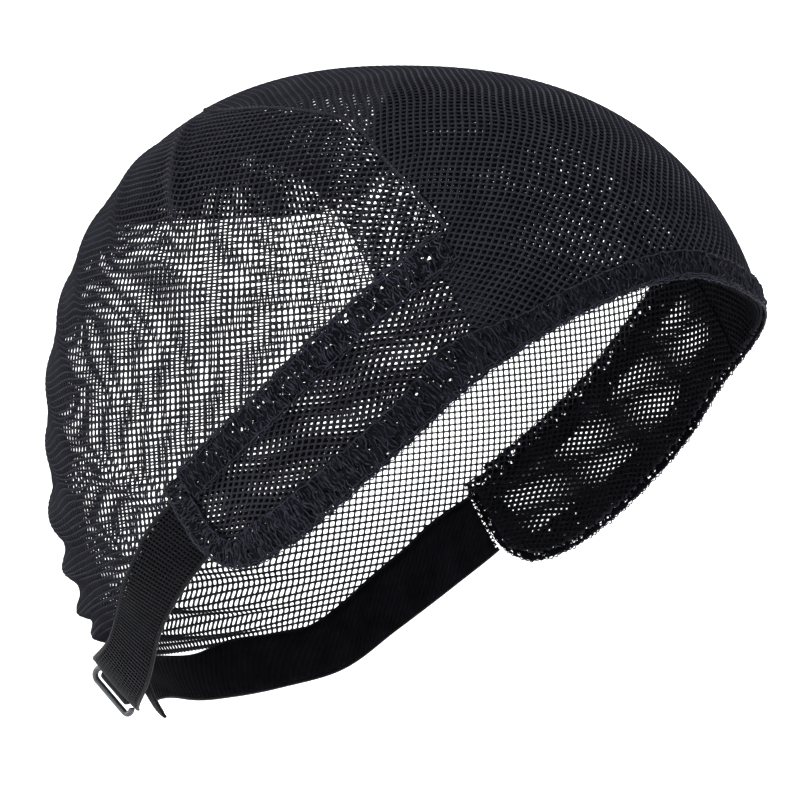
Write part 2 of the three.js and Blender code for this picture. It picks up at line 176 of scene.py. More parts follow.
class SmoothLine:
    """Even steps along a smooth line through directions, the one that the solids' lines follow."""

    def __init__(self, directions: Array, steps: int = 80) -> None:
        """Samples the centripetal Catmull-Rom curve through the directions.

        Args:
            directions: Directions that the line passes through, in order.
            steps: Samples in each span.
        """
        ends = [2 * directions[:1] - directions[1:2], directions, 2 * directions[-1:] - directions[-2:-1]]
        knots = np.concatenate(ends)
        first, start, end, last = knots[:-3], knots[1:-2], knots[2:-1], knots[3:]
        before, span, after = (
            np.sqrt(np.linalg.norm(far - near, axis=1, keepdims=True))
            for near, far in ((first, start), (start, end), (end, last))
        )
        leave = (start - first) / before - (end - first) / (before + span) + (end - start) / span
        arrive = (end - start) / span - (last - start) / (span + after) + (last - end) / after
        leave, arrive = leave * span, arrive * span
        share = np.linspace(0, 1, steps, endpoint=False)[None, :, None]
        square = -3 * start + 3 * end - 2 * leave - arrive
        cube = 2 * start - 2 * end + leave + arrive
        start, leave, square, cube = (part[:, None] for part in (start, leave, square, cube))
        curve = start + share * (leave + share * (square + share * cube))
        self.samples = np.concatenate([curve.reshape(-1, 3), directions[-1:]])
        lengths = np.linalg.norm(np.diff(self.samples, axis=0), axis=1)
        self.shares = np.concatenate([[0.0], np.cumsum(lengths)]) / lengths.sum()

    def __call__(self, share: Array) -> Array:
        """Unit directions at shares of the line's length from 0 to 1."""
        parts = [np.interp(share, self.shares, self.samples[:, axis]) for axis in range(3)]
        return unit(np.stack(parts, axis=-1))


def line_across(rows: Rows) -> SmoothLine:
    """Line from the right side over the middle plane, where the last row lies, to the left side."""
    right, left = directions_of(Side.RIGHT, rows), directions_of(Side.LEFT, rows[:-1])
    return SmoothLine(np.concatenate([right, left[::-1]]))


def brow_directions() -> Array:
    """Directions of the brow hem from the right temple to the left one."""
    right, left = directions_of(Side.RIGHT, BROW_RIGHT), directions_of(Side.LEFT, BROW_LEFT)
    return np.concatenate([right, left[::-1]])


def side_hem_line(side: Side) -> SmoothLine:
    """Hem of an ear tab from the end of the brow hem back to the tab's corner."""
    brow = BROW_RIGHT[0] if side is Side.RIGHT else BROW_LEFT[0]
    return SmoothLine(directions_of(side, (brow, *SIDE_HEM, TAB_CORNER)))


def line_beside(line: LineFunction, width_at: Callable[[Array], Array]) -> LineFunction:
    """Line moved sideways over the form, to its left as seen from outside.

    The sideways direction is the cross product of the outward direction and the line's own direction.

    Args:
        line: Line to move.
        width_at: Millimetres to move it by at each share of its length.

    Returns:
        The moved line.
    """
    step = 0.002

    def moved(share: Array) -> Array:
        """Directions of the moved line at shares of its length."""
        share = np.asarray(share, dtype=float)
        direction = line(share)
        along = line(np.minimum(share + step, 1)) - line(np.maximum(share - step, 0))
        sideways = unit(np.cross(direction, along))
        return unit(direction + sideways * (width_at(share) / FORM.radius(direction))[..., None])

    return moved


def line_shifted(line: LineFunction, width: float) -> LineFunction:
    """Line moved sideways by the same width all along."""
    return line_beside(line, lambda share: np.full(share.shape, width))


def line_length(line: LineFunction, offset: float = 0.0) -> float:
    """Length in millimetres of a line on the form."""
    points = FORM.point(line(np.linspace(0, 1, 400)), offset)
    return float(np.linalg.norm(np.diff(points, axis=0), axis=1).sum())


@dataclass(frozen=True)
class Wrinkle:
    """Pleat in the net along a great-circle arc, as angles, with shares of the height and width."""

    from_round: float
    from_down: float
    to_round: float
    to_down: float
    height: float
    half_width: float


WRINKLES = (
    Wrinkle(140, 34, 106, 61, 0.7, 0.7),
    Wrinkle(168, 40, 124, 63, 0.5, 0.9),
    Wrinkle(172, 50, 131, 74, 0.45, 1),
    Wrinkle(174, 61, 132, 82, 0.6, 0.9),
    Wrinkle(176, 72, 132, 93, 0.7, 1),
    Wrinkle(178, 83, 130, 102, 0.55, 0.9),
    Wrinkle(178, 95, 136, 109, 1.6, 0.9),
    Wrinkle(180, 107, 128, 113, 1.7, 0.8),
    Wrinkle(180, 115.5, 130, 117.5, 2.2, 0.75),
    Wrinkle(180, 121.5, 138, 121.5, 1.9, 0.7),
)


@dataclass(frozen=True)
class NetWrinkles:
    """All wrinkles of the back net, which fall in chevrons from the centre back."""

    height: float = 1.5
    half_width: float = 3.6
    edge_fade: float = 4.0
    pinch: float = 0.7
    pinch_width: float = 4.8
    pinched_side: Side = Side.RIGHT
    folds: tuple[Wrinkle, ...] = WRINKLES

    def rise(self, direction: Array) -> Array:
        """Outward rise of the net: the highest of all ridges at each direction."""
        rise = np.zeros(direction.shape[:-1])
        for side in Side:
            for fold in self.folds:
                rise = np.maximum(rise, self.ridge(direction, side, fold))
        return rise

    def arc(self, direction: Array, side: Side, fold: Wrinkle) -> tuple[Array, Array, Array]:
        """Place of directions by one pleat's arc.

        Args:
            direction: Unit directions.
            side: Side that the pleat is on.
            fold: The pleat's arc and its shares.

        Returns:
            The distance from the arc in millimetres, the fade along it and the arc's pole.
        """
        start = direction_at(side, fold.from_round, fold.from_down)
        end = direction_at(side, fold.to_round, fold.to_down)
        pole = unit(np.cross(start, end))
        forward = np.cross(pole, start)
        away = np.arcsin(np.clip(direction @ pole, -1, 1)) * FORM.radius(direction)
        whole = math.acos(float(np.clip(start @ end, -1, 1)))
        along = np.arctan2(direction @ forward, direction @ start) / whole
        return away, smooth_step(along, -0.15, 0.1) * (1 - smooth_step(along, 0.6, 1.05)), pole

    def ridge(self, direction: Array, side: Side, fold: Wrinkle) -> Array:
        """Height of one pleat: a bell curve of the distance from its arc, faded at both ends."""
        away, fade, _ = self.arc(direction, side, fold)
        spread = away / (fold.half_width * self.half_width)
        return fold.height * self.height * fade * np.exp(-spread * spread)

    def gather(self, direction: Array) -> Array:
        """Pulls the cloth together along each pleat of the pinched side.

        Each direction moves towards the arc by its distance from it, times the pinch and a bell curve of
        that distance.

        Args:
            direction: Unit directions.

        Returns:
            The moved directions.
        """
        for fold in self.folds:
            away, fade, pole = self.arc(direction, self.pinched_side, fold)
            pull = self.pinch * fade * away * np.exp(-((away / self.pinch_width) ** 2))
            direction = unit(direction - pole * (pull / FORM.radius(direction))[..., None])
        return direction


class LocalChart:
    """Flat map of the form round a middle direction that keeps bearings and distances from the middle."""

    scale = 90.0

    def __init__(self, middle: Array) -> None:
        """Sets the middle of the map and its level and upright axes."""
        self.middle = unit(np.asarray(middle, dtype=float))
        self.level = unit(np.cross(self.middle, np.array([0.0, 0.0, 1.0])))
        self.upright = np.cross(self.level, self.middle)

    def flat(self, direction: Array) -> Array:
        """Map places of directions, in millimetres: the angle from the middle times the scale."""
        across, up, near = (direction @ axis for axis in (self.level, self.upright, self.middle))
        sine = np.hypot(across, up)
        stretch = self.scale * np.arctan2(sine, near) / np.maximum(sine, 1e-9)
        return np.stack([across * stretch, up * stretch], axis=-1)

    def direction(self, across: Array, up: Array) -> Array:
        """Directions of map places, the reverse of flat."""
        distance = np.hypot(across, up)
        angle = distance / self.scale
        share = np.sin(angle) / np.maximum(distance, 1e-9)
        return (
            np.cos(angle)[..., None] * self.middle
            + (across * share)[..., None] * self.level
            + (up * share)[..., None] * self.upright
        )


class CrownChart:
    """Map whose upright lines run from the brow over the crown to the back, as the front's grain does."""

    scale = 92.0

    def __init__(self, middle_over: float) -> None:
        """Sets the middle of the map, in degrees from the crown to the back, or to the brow if negative."""
        self.middle_over = math.radians(middle_over)

    def direction(self, across: Array, up: Array) -> Array:
        """Directions of map places.

        Across is an angle from the middle plane towards the right, and up an angle over the crown to the
        back: X is minus cos(across) sin(up), Y is minus sin(across) and Z is cos(across) cos(up).

        Args:
            across: Millimetres towards the right.
            up: Millimetres towards the back.

        Returns:
            Unit directions.
        """
        aside, over = across / self.scale, self.middle_over + up / self.scale
        parts = [-np.cos(aside) * np.sin(over), -np.sin(aside), np.cos(aside) * np.cos(over)]
        return np.stack(parts, axis=-1)


class Region:
    """Part of the form inside an outline."""

    def __init__(self, outline: Array) -> None:
        """Lays the outline out flat.

        Args:
            outline: Directions round the region.
        """
        self.chart = LocalChart(outline.mean(axis=0))
        self.corners = self.chart.flat(outline)

    def holds(self, direction: Array) -> Array:
        """True where a direction lies inside, by the number of outline edges that a level ray crosses."""
        place = self.chart.flat(direction)
        inside = np.zeros(place.shape[:-1], dtype=bool)
        for (x1, y1), (x2, y2) in zip(self.corners, np.roll(self.corners, -1, axis=0)):
            if y1 == y2:
                continue
            spans = (y1 > place[..., 1]) != (y2 > place[..., 1])
            crossing = (x2 - x1) * (place[..., 1] - y1) / (y2 - y1) + x1
            inside ^= spans & (place[..., 0] < crossing)
        return inside

    def edge_distance(self, direction: Array) -> Array:
        """Millimetres from each direction to the nearest outline edge."""
        place = self.chart.flat(direction)
        nearest = np.full(place.shape[:-1], 1e9)
        for start, end in zip(self.corners, np.roll(self.corners, -1, axis=0)):
            edge = end - start
            square = max(float(edge @ edge), 1e-12)
            share = np.clip(((place - start) @ edge) / square, 0, 1)
            gap = place - start - share[..., None] * edge
            nearest = np.minimum(nearest, np.hypot(gap[..., 0], gap[..., 1]))
        return nearest

    def trim(self, direction: Array) -> tuple[Array, Array]:
        """Cuts threads where they leave the region.

        The sample just outside moves back to the outline, found by halving the step seven times.

        Args:
            direction: Directions along threads, as threads by samples by three.

        Returns:
            The directions with their cut ends, and which neighbouring samples are joined.
        """
        inside = self.holds(direction)
        trimmed = direction.copy()
        for step in (-1, 1):
            neighbour = np.roll(inside, -step, axis=1)
            neighbour[:, -1 if step > 0 else 0] = False
            edge = ~inside & neighbour
            outer, inner = direction[edge], np.roll(direction, -step, axis=1)[edge]
            for _ in range(7):
                middle = unit(outer + inner)
                held = self.holds(middle)[:, None]
                inner, outer = np.where(held, middle, inner), np.where(held, outer, middle)
            trimmed[edge] = inner
        return trimmed, inside[:, :-1] | inside[:, 1:]


def between(lower: LineFunction, upper: LineFunction, along: Array, across: Array) -> Array:
    """Directions between two lines, at shares along them and across from the lower to the upper."""
    share = np.asarray(across)[..., None]
    return unit(lower(along) * (1 - share) + upper(along) * share)


def outline_of(lower: LineFunction, upper: LineFunction, count: int = 90, end_count: int = 12) -> Array:
    """Directions round the cloth between a lower and an upper line, with its two end edges."""
    share = np.linspace(0, 1, count)
    across = np.linspace(0, 1, end_count)[1:-1]
    begin, end = (between(lower, upper, np.array([place]), across) for place in (0.0, 1.0))
    return np.concatenate([lower(share), end, upper(share[::-1]), begin[::-1]])


def grid_quads(number: Array) -> Array:
    """Faces between the neighbours of a grid of corner numbers, with four corners each."""
    return np.stack([number[:-1, :-1], number[1:, :-1], number[1:, 1:], number[:-1, 1:]], axis=-1)


def grid_numbers(points: Array) -> Array:
    """Corner numbers of a grid of points, row after row."""
    return np.arange(points.shape[0] * points.shape[1]).reshape(points.shape[:2])


def thicken(piece: bpy.types.Object, thickness: float) -> None:
    """Gives a piece a thin wall in millimetres, half of it on each side of its faces."""
    wall = piece.modifiers.new("wall", "SOLIDIFY")
    wall.thickness = thickness * METRES
    wall.offset = 0.0


NO_CAPS = np.zeros((0, 3), dtype=int)
NO_CAP_PLACES = np.zeros((0, 3, 2))


@dataclass
class MeshParts:
    """Corners, faces and their map places, which several thread families add to."""

    corners: list[Array] = field(default_factory=list)
    quads: list[Array] = field(default_factory=list)
    quad_places: list[Array] = field(default_factory=list)
    caps: list[Array] = field(default_factory=list)
    cap_places: list[Array] = field(default_factory=list)
    count: int = 0

    def add(
        self,
        corners: Array,
        quads: Array,
        places: Array,
        caps: Array = NO_CAPS,
        cap_places: Array = NO_CAP_PLACES,
    ) -> None:
        """Adds corners in millimetres with quads and end caps that number them from 0."""
        self.corners.append(corners)
        self.quads.append(quads + self.count)
        self.quad_places.append(places)
        self.caps.append(caps + self.count)
        self.cap_places.append(cap_places)
        self.count += len(corners)

    def add_threads(
        self,
        points: Array,
        normals: Array,
        joins: Array,
        radius: Array | float,
        sides: int = 3,
        breadth: float = 1.0,
    ) -> None:
        """Adds closed tubes along threads.

        Each sample gets a ring of corners: the point plus the radius times the breadth times cos(a) of
        the sideways direction and the radius times sin(a) of the outward one. Quads join neighbouring
        rings, and a flat face closes each end. The map place is the length along and the share round it.

        Args:
            points: Threads by samples by three, in millimetres.
            normals: Outward directions at the points.
            joins: Threads by samples less one, true where neighbouring samples are joined.
            radius: Thread radius, one for all or one for each sample.
            sides: Corners of each ring.
            breadth: Width of the thread over its thickness.
        """
        gap = np.zeros((len(points), 1), dtype=bool)
        after, before = np.concatenate([joins, gap], axis=1), np.concatenate([gap, joins], axis=1)
        present = after | before
        step = np.diff(points, axis=1)
        length = np.linalg.norm(step, axis=2)
        blank = np.zeros((len(points), 1, 3))
        heading = unit(step)
        forward = np.concatenate([heading, blank], axis=1) * after[..., None]
        backward = np.concatenate([blank, heading], axis=1) * before[..., None]
        tangent = unit(forward + backward)
        aside = unit(np.cross(normals, tangent))
        outward = np.cross(tangent, aside)
        angle = 2 * math.pi * (np.arange(sides) + 0.5) / sides
        sideways, outwards = breadth * np.cos(angle)[:, None], np.sin(angle)[:, None]
        spoke = sideways * aside[..., None, :] + outwards * outward[..., None, :]
        width = np.broadcast_to(np.asarray(radius, dtype=float), points.shape[:2])
        ring = points[..., None, :] + spoke * width[..., None, None]
        number = (np.cumsum(present.ravel()) - 1).reshape(present.shape)
        run = np.concatenate([np.zeros((len(points), 1)), np.cumsum(length, axis=1)], axis=1)
        start, end = number[:, :-1][joins], number[:, 1:][joins]
        run_start, run_end = run[:, :-1][joins], run[:, 1:][joins]
        this = np.arange(sides)
        following = (this + 1) % sides
        near, far = start[:, None] * sides, end[:, None] * sides
        quads = np.stack([near + this, near + following, far + following, far + this], axis=-1)
        runs, rounds = (run_start, run_start, run_end, run_end), (this, this + 1, this + 1, this)
        pairs = [np.broadcast_arrays(way[:, None], turn / sides) for way, turn in zip(runs, rounds)]
        places = np.stack([np.stack(pair, axis=-1) for pair in pairs], axis=2)
        first, last = number[after & ~before], number[before & ~after]
        caps = np.concatenate([first[:, None] * sides + this[::-1], last[:, None] * sides + this])
        cap_run = np.concatenate([run[after & ~before], run[before & ~after]])
        cap_place = np.stack([cap_run, np.full_like(cap_run, 0.5)], axis=-1)
        cap_places = np.repeat(cap_place[:, None], sides, axis=1)
        corners = ring[present].reshape(-1, 3)
        self.add(corners, quads.reshape(-1, 4), places.reshape(-1, 4, 2), caps, cap_places)

    def add_cord(self, points: Array, normals: Array, radius: Array | float, sides: int = 6) -> None:
        """Adds one closed tube along a path of points."""
        joins = np.ones((1, len(points) - 1), dtype=bool)
        self.add_threads(points[None], normals[None], joins, radius, sides)

    def piece(self, name: str) -> bpy.types.Object:
        """Makes the Blender object, in metres, with smooth faces and a map named thread.

        Args:
            name: Name of the piece.

        Returns:
            The new object, linked to the scene.
        """
        faces = [*self.quads, *self.caps]
        places = [*self.quad_places, *self.cap_places]
        sizes = np.concatenate([np.full(len(block), block.shape[1]) for block in faces if len(block)])
        loops = np.concatenate([block.ravel() for block in faces if len(block)])
        corners = np.concatenate(self.corners) * METRES
        mesh = bpy.data.meshes.new(name)
        mesh.vertices.add(len(corners))
        mesh.vertices.foreach_set("co", corners.astype(np.float32).ravel())
        mesh.loops.add(len(loops))
        mesh.loops.foreach_set("vertex_index", loops.astype(np.int32))
        mesh.polygons.add(len(sizes))
        starts = np.concatenate([[0], np.cumsum(sizes)[:-1]])
        mesh.polygons.foreach_set("loop_start", starts.astype(np.int32))
        layer = mesh.uv_layers.new(name="thread")
        flat = np.concatenate([block.reshape(-1, 2) for block in places if len(block)])
        layer.data.foreach_set("uv", flat.astype(np.float32).ravel())
        mesh.polygons.foreach_set("use_smooth", np.ones(len(sizes), dtype=bool))
        mesh.update(calc_edges=True)
        mesh.validate()
        piece = bpy.data.objects.new(name, mesh)
        bpy.context.scene.collection.objects.link(piece)
        return piece


class NodeSketch:
    """Small helper that adds shader nodes to a new material and links them."""

    def __init__(self, name: str) -> None:
        """Starts a material with only its output and a Principled shader."""
        self.material = bpy.data.materials.new(name)
        self.material.use_nodes = True
        self.tree = self.material.node_tree
        self.tree.nodes.clear()
        self.output = self.tree.nodes.new("ShaderNodeOutputMaterial")
        self.shader = self.tree.nodes.new("ShaderNodeBsdfPrincipled")
        self.link(self.shader, "BSDF", self.output, "Surface")

    def node(self, kind: str, **values: object) -> bpy.types.Node:
        """Adds a node and sets its attributes, or its inputs where a name holds an input's label.

        Args:
            kind: Node type after ShaderNode.
            **values: Attribute names, or input names with underscores for spaces.

        Returns:
            The new node.
        """
        made = self.tree.nodes.new("ShaderNode" + kind)
        for name, value in values.items():
            label = name.replace("_", " ")
            if label in made.inputs:
                made.inputs[label].default_value = value
            else:
                setattr(made, name, value)
        return made

    def noise(self, scale: float, detail: float, roughness: float) -> bpy.types.Node:
        """Adds noise on the object's own place."""
        noise = self.node("TexNoise", Scale=scale, Detail=detail, Roughness=roughness)
        self.link(self.node("TexCoord"), "Object", noise, "Vector")
        return noise

    def set_inputs(self, **values: object) -> None:
        """Sets the shader's own inputs, with underscores for the spaces of their names."""
        for name, value in values.items():
            self.shader.inputs[name.replace("_", " ")].default_value = value

    def link(self, source: bpy.types.Node, output: str, target: bpy.types.Node, entry: str) -> None:
        """Links an output of one node to an input of another."""
        self.tree.links.new(source.outputs[output], target.inputs[entry])

    def ramp(
        self, source: bpy.types.Node, output: str, stops: tuple[tuple[float, tuple], ...]
    ) -> bpy.types.Node:
        """Adds a colour ramp behind an output.

        Args:
            source: Node whose output drives the ramp.
            output: Name of that output.
            stops: Positions with their colours.

        Returns:
            The ramp.
        """
        ramp = self.node("ValToRGB")
        entries = ramp.color_ramp.elements
        while len(entries) < len(stops):
            entries.new(0.5)
        for entry, (position, color) in zip(entries, stops):
            entry.position = position
            entry.color = (*color, 1.0)
        self.link(source, output, ramp, "Fac")
        return ramp


@dataclass(frozen=True)
class YarnFinish:
    """Twisted synthetic yarn: a dark colour that varies, soft gloss, sheen and ply lines on the thread."""

    name: str
    shade: tuple[float, float, float]
    light: tuple[float, float, float]
    roughness: float = 0.6
    sheen: float = 0.008
    specular: float = 0.09
    ply_scale: float = 1.6
    ply_depth: float = 0.05
    patch_scale: float = 150.0
    fuzz_scale: float = 2600.0
    fuzz_depth: float = 0.04
    gloss_fall: float = 0.12
    gloss_rise: float = 0.15
    sheen_roughness: float = 0.45
    sheen_tint: tuple[float, float, float, float] = (0.55, 0.58, 0.75, 1.0)

    def material(self) -> bpy.types.Material:
        """Builds the material: noise mixes two shades, and a wave on the thread's own map is bump."""
        sketch = NodeSketch(self.name)
        patches = sketch.noise(self.patch_scale, 5.0, 0.65)
        color = sketch.ramp(patches, "Fac", ((0.3, self.shade), (0.7, self.light)))
        sketch.link(color, "Color", sketch.shader, "Base Color")
        fuzz = sketch.noise(self.fuzz_scale, 2.0, 0.7)
        low, high = self.roughness - self.gloss_fall, self.roughness + self.gloss_rise
        gloss = sketch.node("MapRange", To_Min=low, To_Max=high)
        sketch.link(fuzz, "Fac", gloss, "Value")
        sketch.link(gloss, "Result", sketch.shader, "Roughness")
        thread = sketch.node("UVMap", uv_map="thread")
        bands = {"wave_type": "BANDS", "bands_direction": "DIAGONAL"}
        ply = sketch.node("TexWave", **bands, Scale=self.ply_scale, Distortion=0.6)
        sketch.link(thread, "UV", ply, "Vector")
        twist = sketch.node("Bump", Strength=0.5, Distance=self.ply_depth * METRES)
        sketch.link(ply, "Fac", twist, "Height")
        hairs = sketch.node("Bump", Strength=0.4, Distance=self.fuzz_depth * METRES)
        sketch.link(fuzz, "Fac", hairs, "Height")
        sketch.link(twist, "Normal", hairs, "Normal")
        sketch.link(hairs, "Normal", sketch.shader, "Normal")
        sketch.set_inputs(
            Sheen_Weight=self.sheen,
            Sheen_Roughness=self.sheen_roughness,
            Sheen_Tint=self.sheen_tint,
            Specular_IOR_Level=self.specular,
        )
        return sketch.material


@dataclass(frozen=True)
class WireFinish:
    """Black coated wire with a hard gloss and fine scuffs."""

    name: str = "hook_wire"
    shade: tuple[float, float, float] = (0.006, 0.007, 0.010)
    light: tuple[float, float, float] = (0.026, 0.030, 0.038)
    scuff_scale: float = 700.0
    scuff_depth: float = 0.02

    def material(self) -> bpy.types.Material:
        """Builds the material: scuffs from noise change the colour and the gloss a little."""
        sketch = NodeSketch(self.name)
        scuffs = sketch.noise(self.scuff_scale, 4.0, 0.65)
        color = sketch.ramp(scuffs, "Fac", ((0.35, self.shade), (0.75, self.light)))
        sketch.link(color, "Color", sketch.shader, "Base Color")
        gloss = sketch.node("MapRange", To_Min=0.3, To_Max=0.48)
        sketch.link(scuffs, "Fac", gloss, "Value")
        sketch.link(gloss, "Result", sketch.shader, "Roughness")
        dents = sketch.node("Bump", Strength=0.25, Distance=self.scuff_depth * METRES)
        sketch.link(scuffs, "Fac", dents, "Height")
        sketch.link(dents, "Normal", sketch.shader, "Normal")
        sketch.set_inputs(Metallic=0.25, Coat_Weight=0.15, Coat_Roughness=0.12)
        return sketch.material


@dataclass(frozen=True)
class BackdropFinish:
    """Pale paper of the floor and backdrop, with a slight glow that keeps it even."""

    name: str = "pale_backdrop"

    def material(self) -> bpy.types.Material:
        """Builds the material from one pale colour and a weak glow."""
        sketch = NodeSketch(self.name)
        sketch.set_inputs(
            Base_Color=(0.9, 0.9, 0.9, 1.0),
            Roughness=0.9,
            Specular_IOR_Level=0.0,
            Emission_Color=(1.0, 1.0, 1.0, 1.0),
            Emission_Strength=0.6,
        )
        return sketch.material


@dataclass(frozen=True)
class Yarns:
    """The finishes of all cloth pieces."""

    net: YarnFinish = YarnFinish("net_yarn", (0.0045, 0.0045, 0.0075), (0.009, 0.009, 0.0145))
    knit: YarnFinish = YarnFinish(
        "knit_yarn", (0.004, 0.004, 0.0068), (0.010, 0.010, 0.0155), specular=0.07
    )
    # Painted shade: the lining yarn is a darker copy of the outer yarns, so that the inner layers seen
    # through the holes read as shaded; it serves the front lining, the crown facing and the inner layers of
    # the ear tabs.
    lining: YarnFinish = YarnFinish(
        "lining_yarn_painted_shade", (0.001, 0.001, 0.002), (0.003, 0.003, 0.005), specular=0.04
    )
    tab: YarnFinish = YarnFinish("tab_yarn", (0.0045, 0.0045, 0.007), (0.010, 0.010, 0.0145))
    # Painted shade: the band yarn is a darkened copy of the outer yarns, to offset the brighter light on
    # the band where it faces the key and side lights; it also serves the band's edges and the hook's
    # sleeve.
    band: YarnFinish = YarnFinish("band_yarn_painted_shade", (0.001, 0.001, 0.002), (0.003, 0.003, 0.005), specular=0.055)
    lace: YarnFinish = YarnFinish(
        "lace_yarn",
        (0.0003, 0.0003, 0.0006),
        (0.020, 0.021, 0.032),
        roughness=0.5,
        sheen=0.003,
        specular=0.06,
        ply_scale=2.2,
        ply_depth=0.09,
        patch_scale=800.0,
    )
    lace_ground: YarnFinish = YarnFinish(
        "lace_ground_yarn", (0.0005, 0.0005, 0.001), (0.003, 0.003, 0.005), sheen=0.0, specular=0.02
    )
    close_knit: YarnFinish = YarnFinish(
        "close_knit_yarn",
        (0.001, 0.001, 0.0015),
        (0.003, 0.003, 0.0045),
        roughness=0.8,
        sheen=0.0,
        specular=0.025,
        ply_scale=0.35,
        ply_depth=0.3,
    )
    seam: YarnFinish = YarnFinish("seam_yarn", (0.004, 0.004, 0.0065), (0.009, 0.009, 0.0135))


YARNS = Yarns()
MATERIALS: dict[str, bpy.types.Material] = {}


def finish_piece(
    piece: bpy.types.Object,
    finish: YarnFinish | WireFinish | BackdropFinish,
    nodes: tuple[str, ...] = (),
) -> bpy.types.Object:
    """Gives a piece its material, its body and the solids that it stands for.

    Args:
        piece: Piece to finish.
        finish: Its finish; the same one is built only once.
        nodes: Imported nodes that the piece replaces.

    Returns:
        The piece.
    """
    if finish.name not in MATERIALS:
        MATERIALS[finish.name] = finish.material()
    piece.data.materials.append(MATERIALS[finish.name])
    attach(piece, "root")
    if nodes:
        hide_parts(*nodes)
    return piece


@dataclass(frozen=True)
class KnitNet:
    """Knitted net of two families of threads, thick where they cross and thin between."""

    column_step: float = 1.75
    row_step: float = 1.75
    turn: float = 0.0
    skew: float = 0.0
    knot_radius: float = 0.34
    thread_radius: float = 0.24
    sway: float = 0.25
    sway_length: float = 23.0
    sides: int = 3
    breadth: float = 1.0
    shift: float = 0.0

    def nodes(self, chart: LocalChart | CrownChart, reach: float) -> Array:
        """Crossings of the net on a chart.

        A crossing stands at whole steps along the columns and rows, plus the shift. The columns lean by
        the skew, both are turned by the turn, and slow sine waves sway them, as in unevenly pulled cloth.

        Args:
            chart: Chart that the net lies on.
            reach: Distance from the chart's middle that the net covers.

        Returns:
            Directions as columns by rows by three.
        """
        steps = (self.column_step, self.row_step)
        counts = [math.ceil(reach / step) for step in steps]
        column, row = (
            (np.arange(-count, count + 1) + self.shift) * step for count, step in zip(counts, steps)
        )
        along, up = np.meshgrid(column, row, indexing="ij")
        along = along + up * math.tan(math.radians(self.skew))
        wave = 2 * math.pi / self.sway_length
        swayed_along = along + self.sway * np.sin(wave * up + 0.4 * wave * along)
        swayed_up = up + self.sway * np.sin(0.8 * wave * along - 0.3 * wave * up)
        cosine, sine = math.cos(math.radians(self.turn)), math.sin(math.radians(self.turn))
        across = swayed_along * cosine - swayed_up * sine
        return chart.direction(across, swayed_along * sine + swayed_up * cosine)

    def strands(self, nodes: Array, region: Region) -> list[tuple[Array, Array, Array]]:
        """Threads of both families, with a sample between each two crossings.

        Args:
            nodes: Directions of the crossings, as columns by rows by three.
            region: Region that the threads are cut to.

        Returns:
            Directions, joins and radii of each family.
        """
        families = []
        for crossings in (nodes, nodes.transpose(1, 0, 2)):
            strand = np.empty((crossings.shape[0], 2 * crossings.shape[1] - 1, 3))
            strand[:, ::2] = crossings
            strand[:, 1::2] = unit(crossings[:, :-1] + crossings[:, 1:])
            directions, joins = region.trim(strand)
            radius = np.full(strand.shape[:2], self.knot_radius)
            radius[:, 1::2] = self.thread_radius
            used = joins.any(axis=1)
            families.append((directions[used], joins[used], radius[used]))
        return families

    def lay(self, parts: MeshParts, nodes: Array, region: Region, offset: float) -> None:
        """Adds the net's threads, cut to a region, at an offset from the form.

        Args:
            parts: Mesh that the threads go to.
            nodes: Directions of the crossings.
            region: Region that they are cut to.
            offset: Distance of the threads' middle from the form.
        """
        for directions, joins, radius in self.strands(nodes, region):
            points = FORM.point(directions, offset)
            parts.add_threads(points, directions, joins, radius, self.sides, self.breadth)


@dataclass
class FrontPanel:
    """Lined front of the cap, of two layers of net cut on the bias."""

    net: KnitNet = KnitNet(turn=50.0, knot_radius=0.45, thread_radius=0.37, breadth=1.2)
    lining_net: KnitNet = KnitNet(turn=50.0, knot_radius=0.37, thread_radius=0.32, breadth=1.9, shift=0.5)
    panel_offset: float = 0.75
    lining_offset: float = -0.15
    middle_over: float = -40.0
    reach: float = 150.0
    temple_low: tuple[float, float] = (44.5, 79.0)
    temple_high: tuple[float, float] = (54.5, 60.5)

    def region(self, upper_rows: Rows) -> Region:
        """Region from the brow to an upper line, which laps a little over both ear tabs at the temples."""
        laps = [directions_of(side, (self.temple_low,)) for side in Side]
        brow = SmoothLine(np.concatenate([laps[0], brow_directions(), laps[1]]))
        return Region(outline_of(brow, line_across((self.temple_high, *upper_rows))))

    def build(self) -> list[bpy.types.Object]:
        """Builds the outer panel and the lining.

        Returns:
            The two pieces.
        """
        chart = CrownChart(self.middle_over)
        panel_parts = MeshParts()
        panel_region = self.region(CROWN_SEAM)
        self.net.lay(panel_parts, self.net.nodes(chart, self.reach), panel_region, self.panel_offset)
        panel = panel_parts.piece("front_panel_mesh")
        finish_piece(panel, YARNS.knit, ("front_panel",))
        lining_parts = MeshParts()
        lining_region = self.region(LINING_REAR_EDGE)
        lining_nodes = self.lining_net.nodes(chart, self.reach)
        self.lining_net.lay(lining_parts, lining_nodes, lining_region, self.lining_offset)
        lining = lining_parts.piece("front_lining_mesh")
        # The lining takes the lining yarn, darkened as painted shade.
        finish_piece(lining, YARNS.lining, ("front_lining",))
        return [panel, lining]


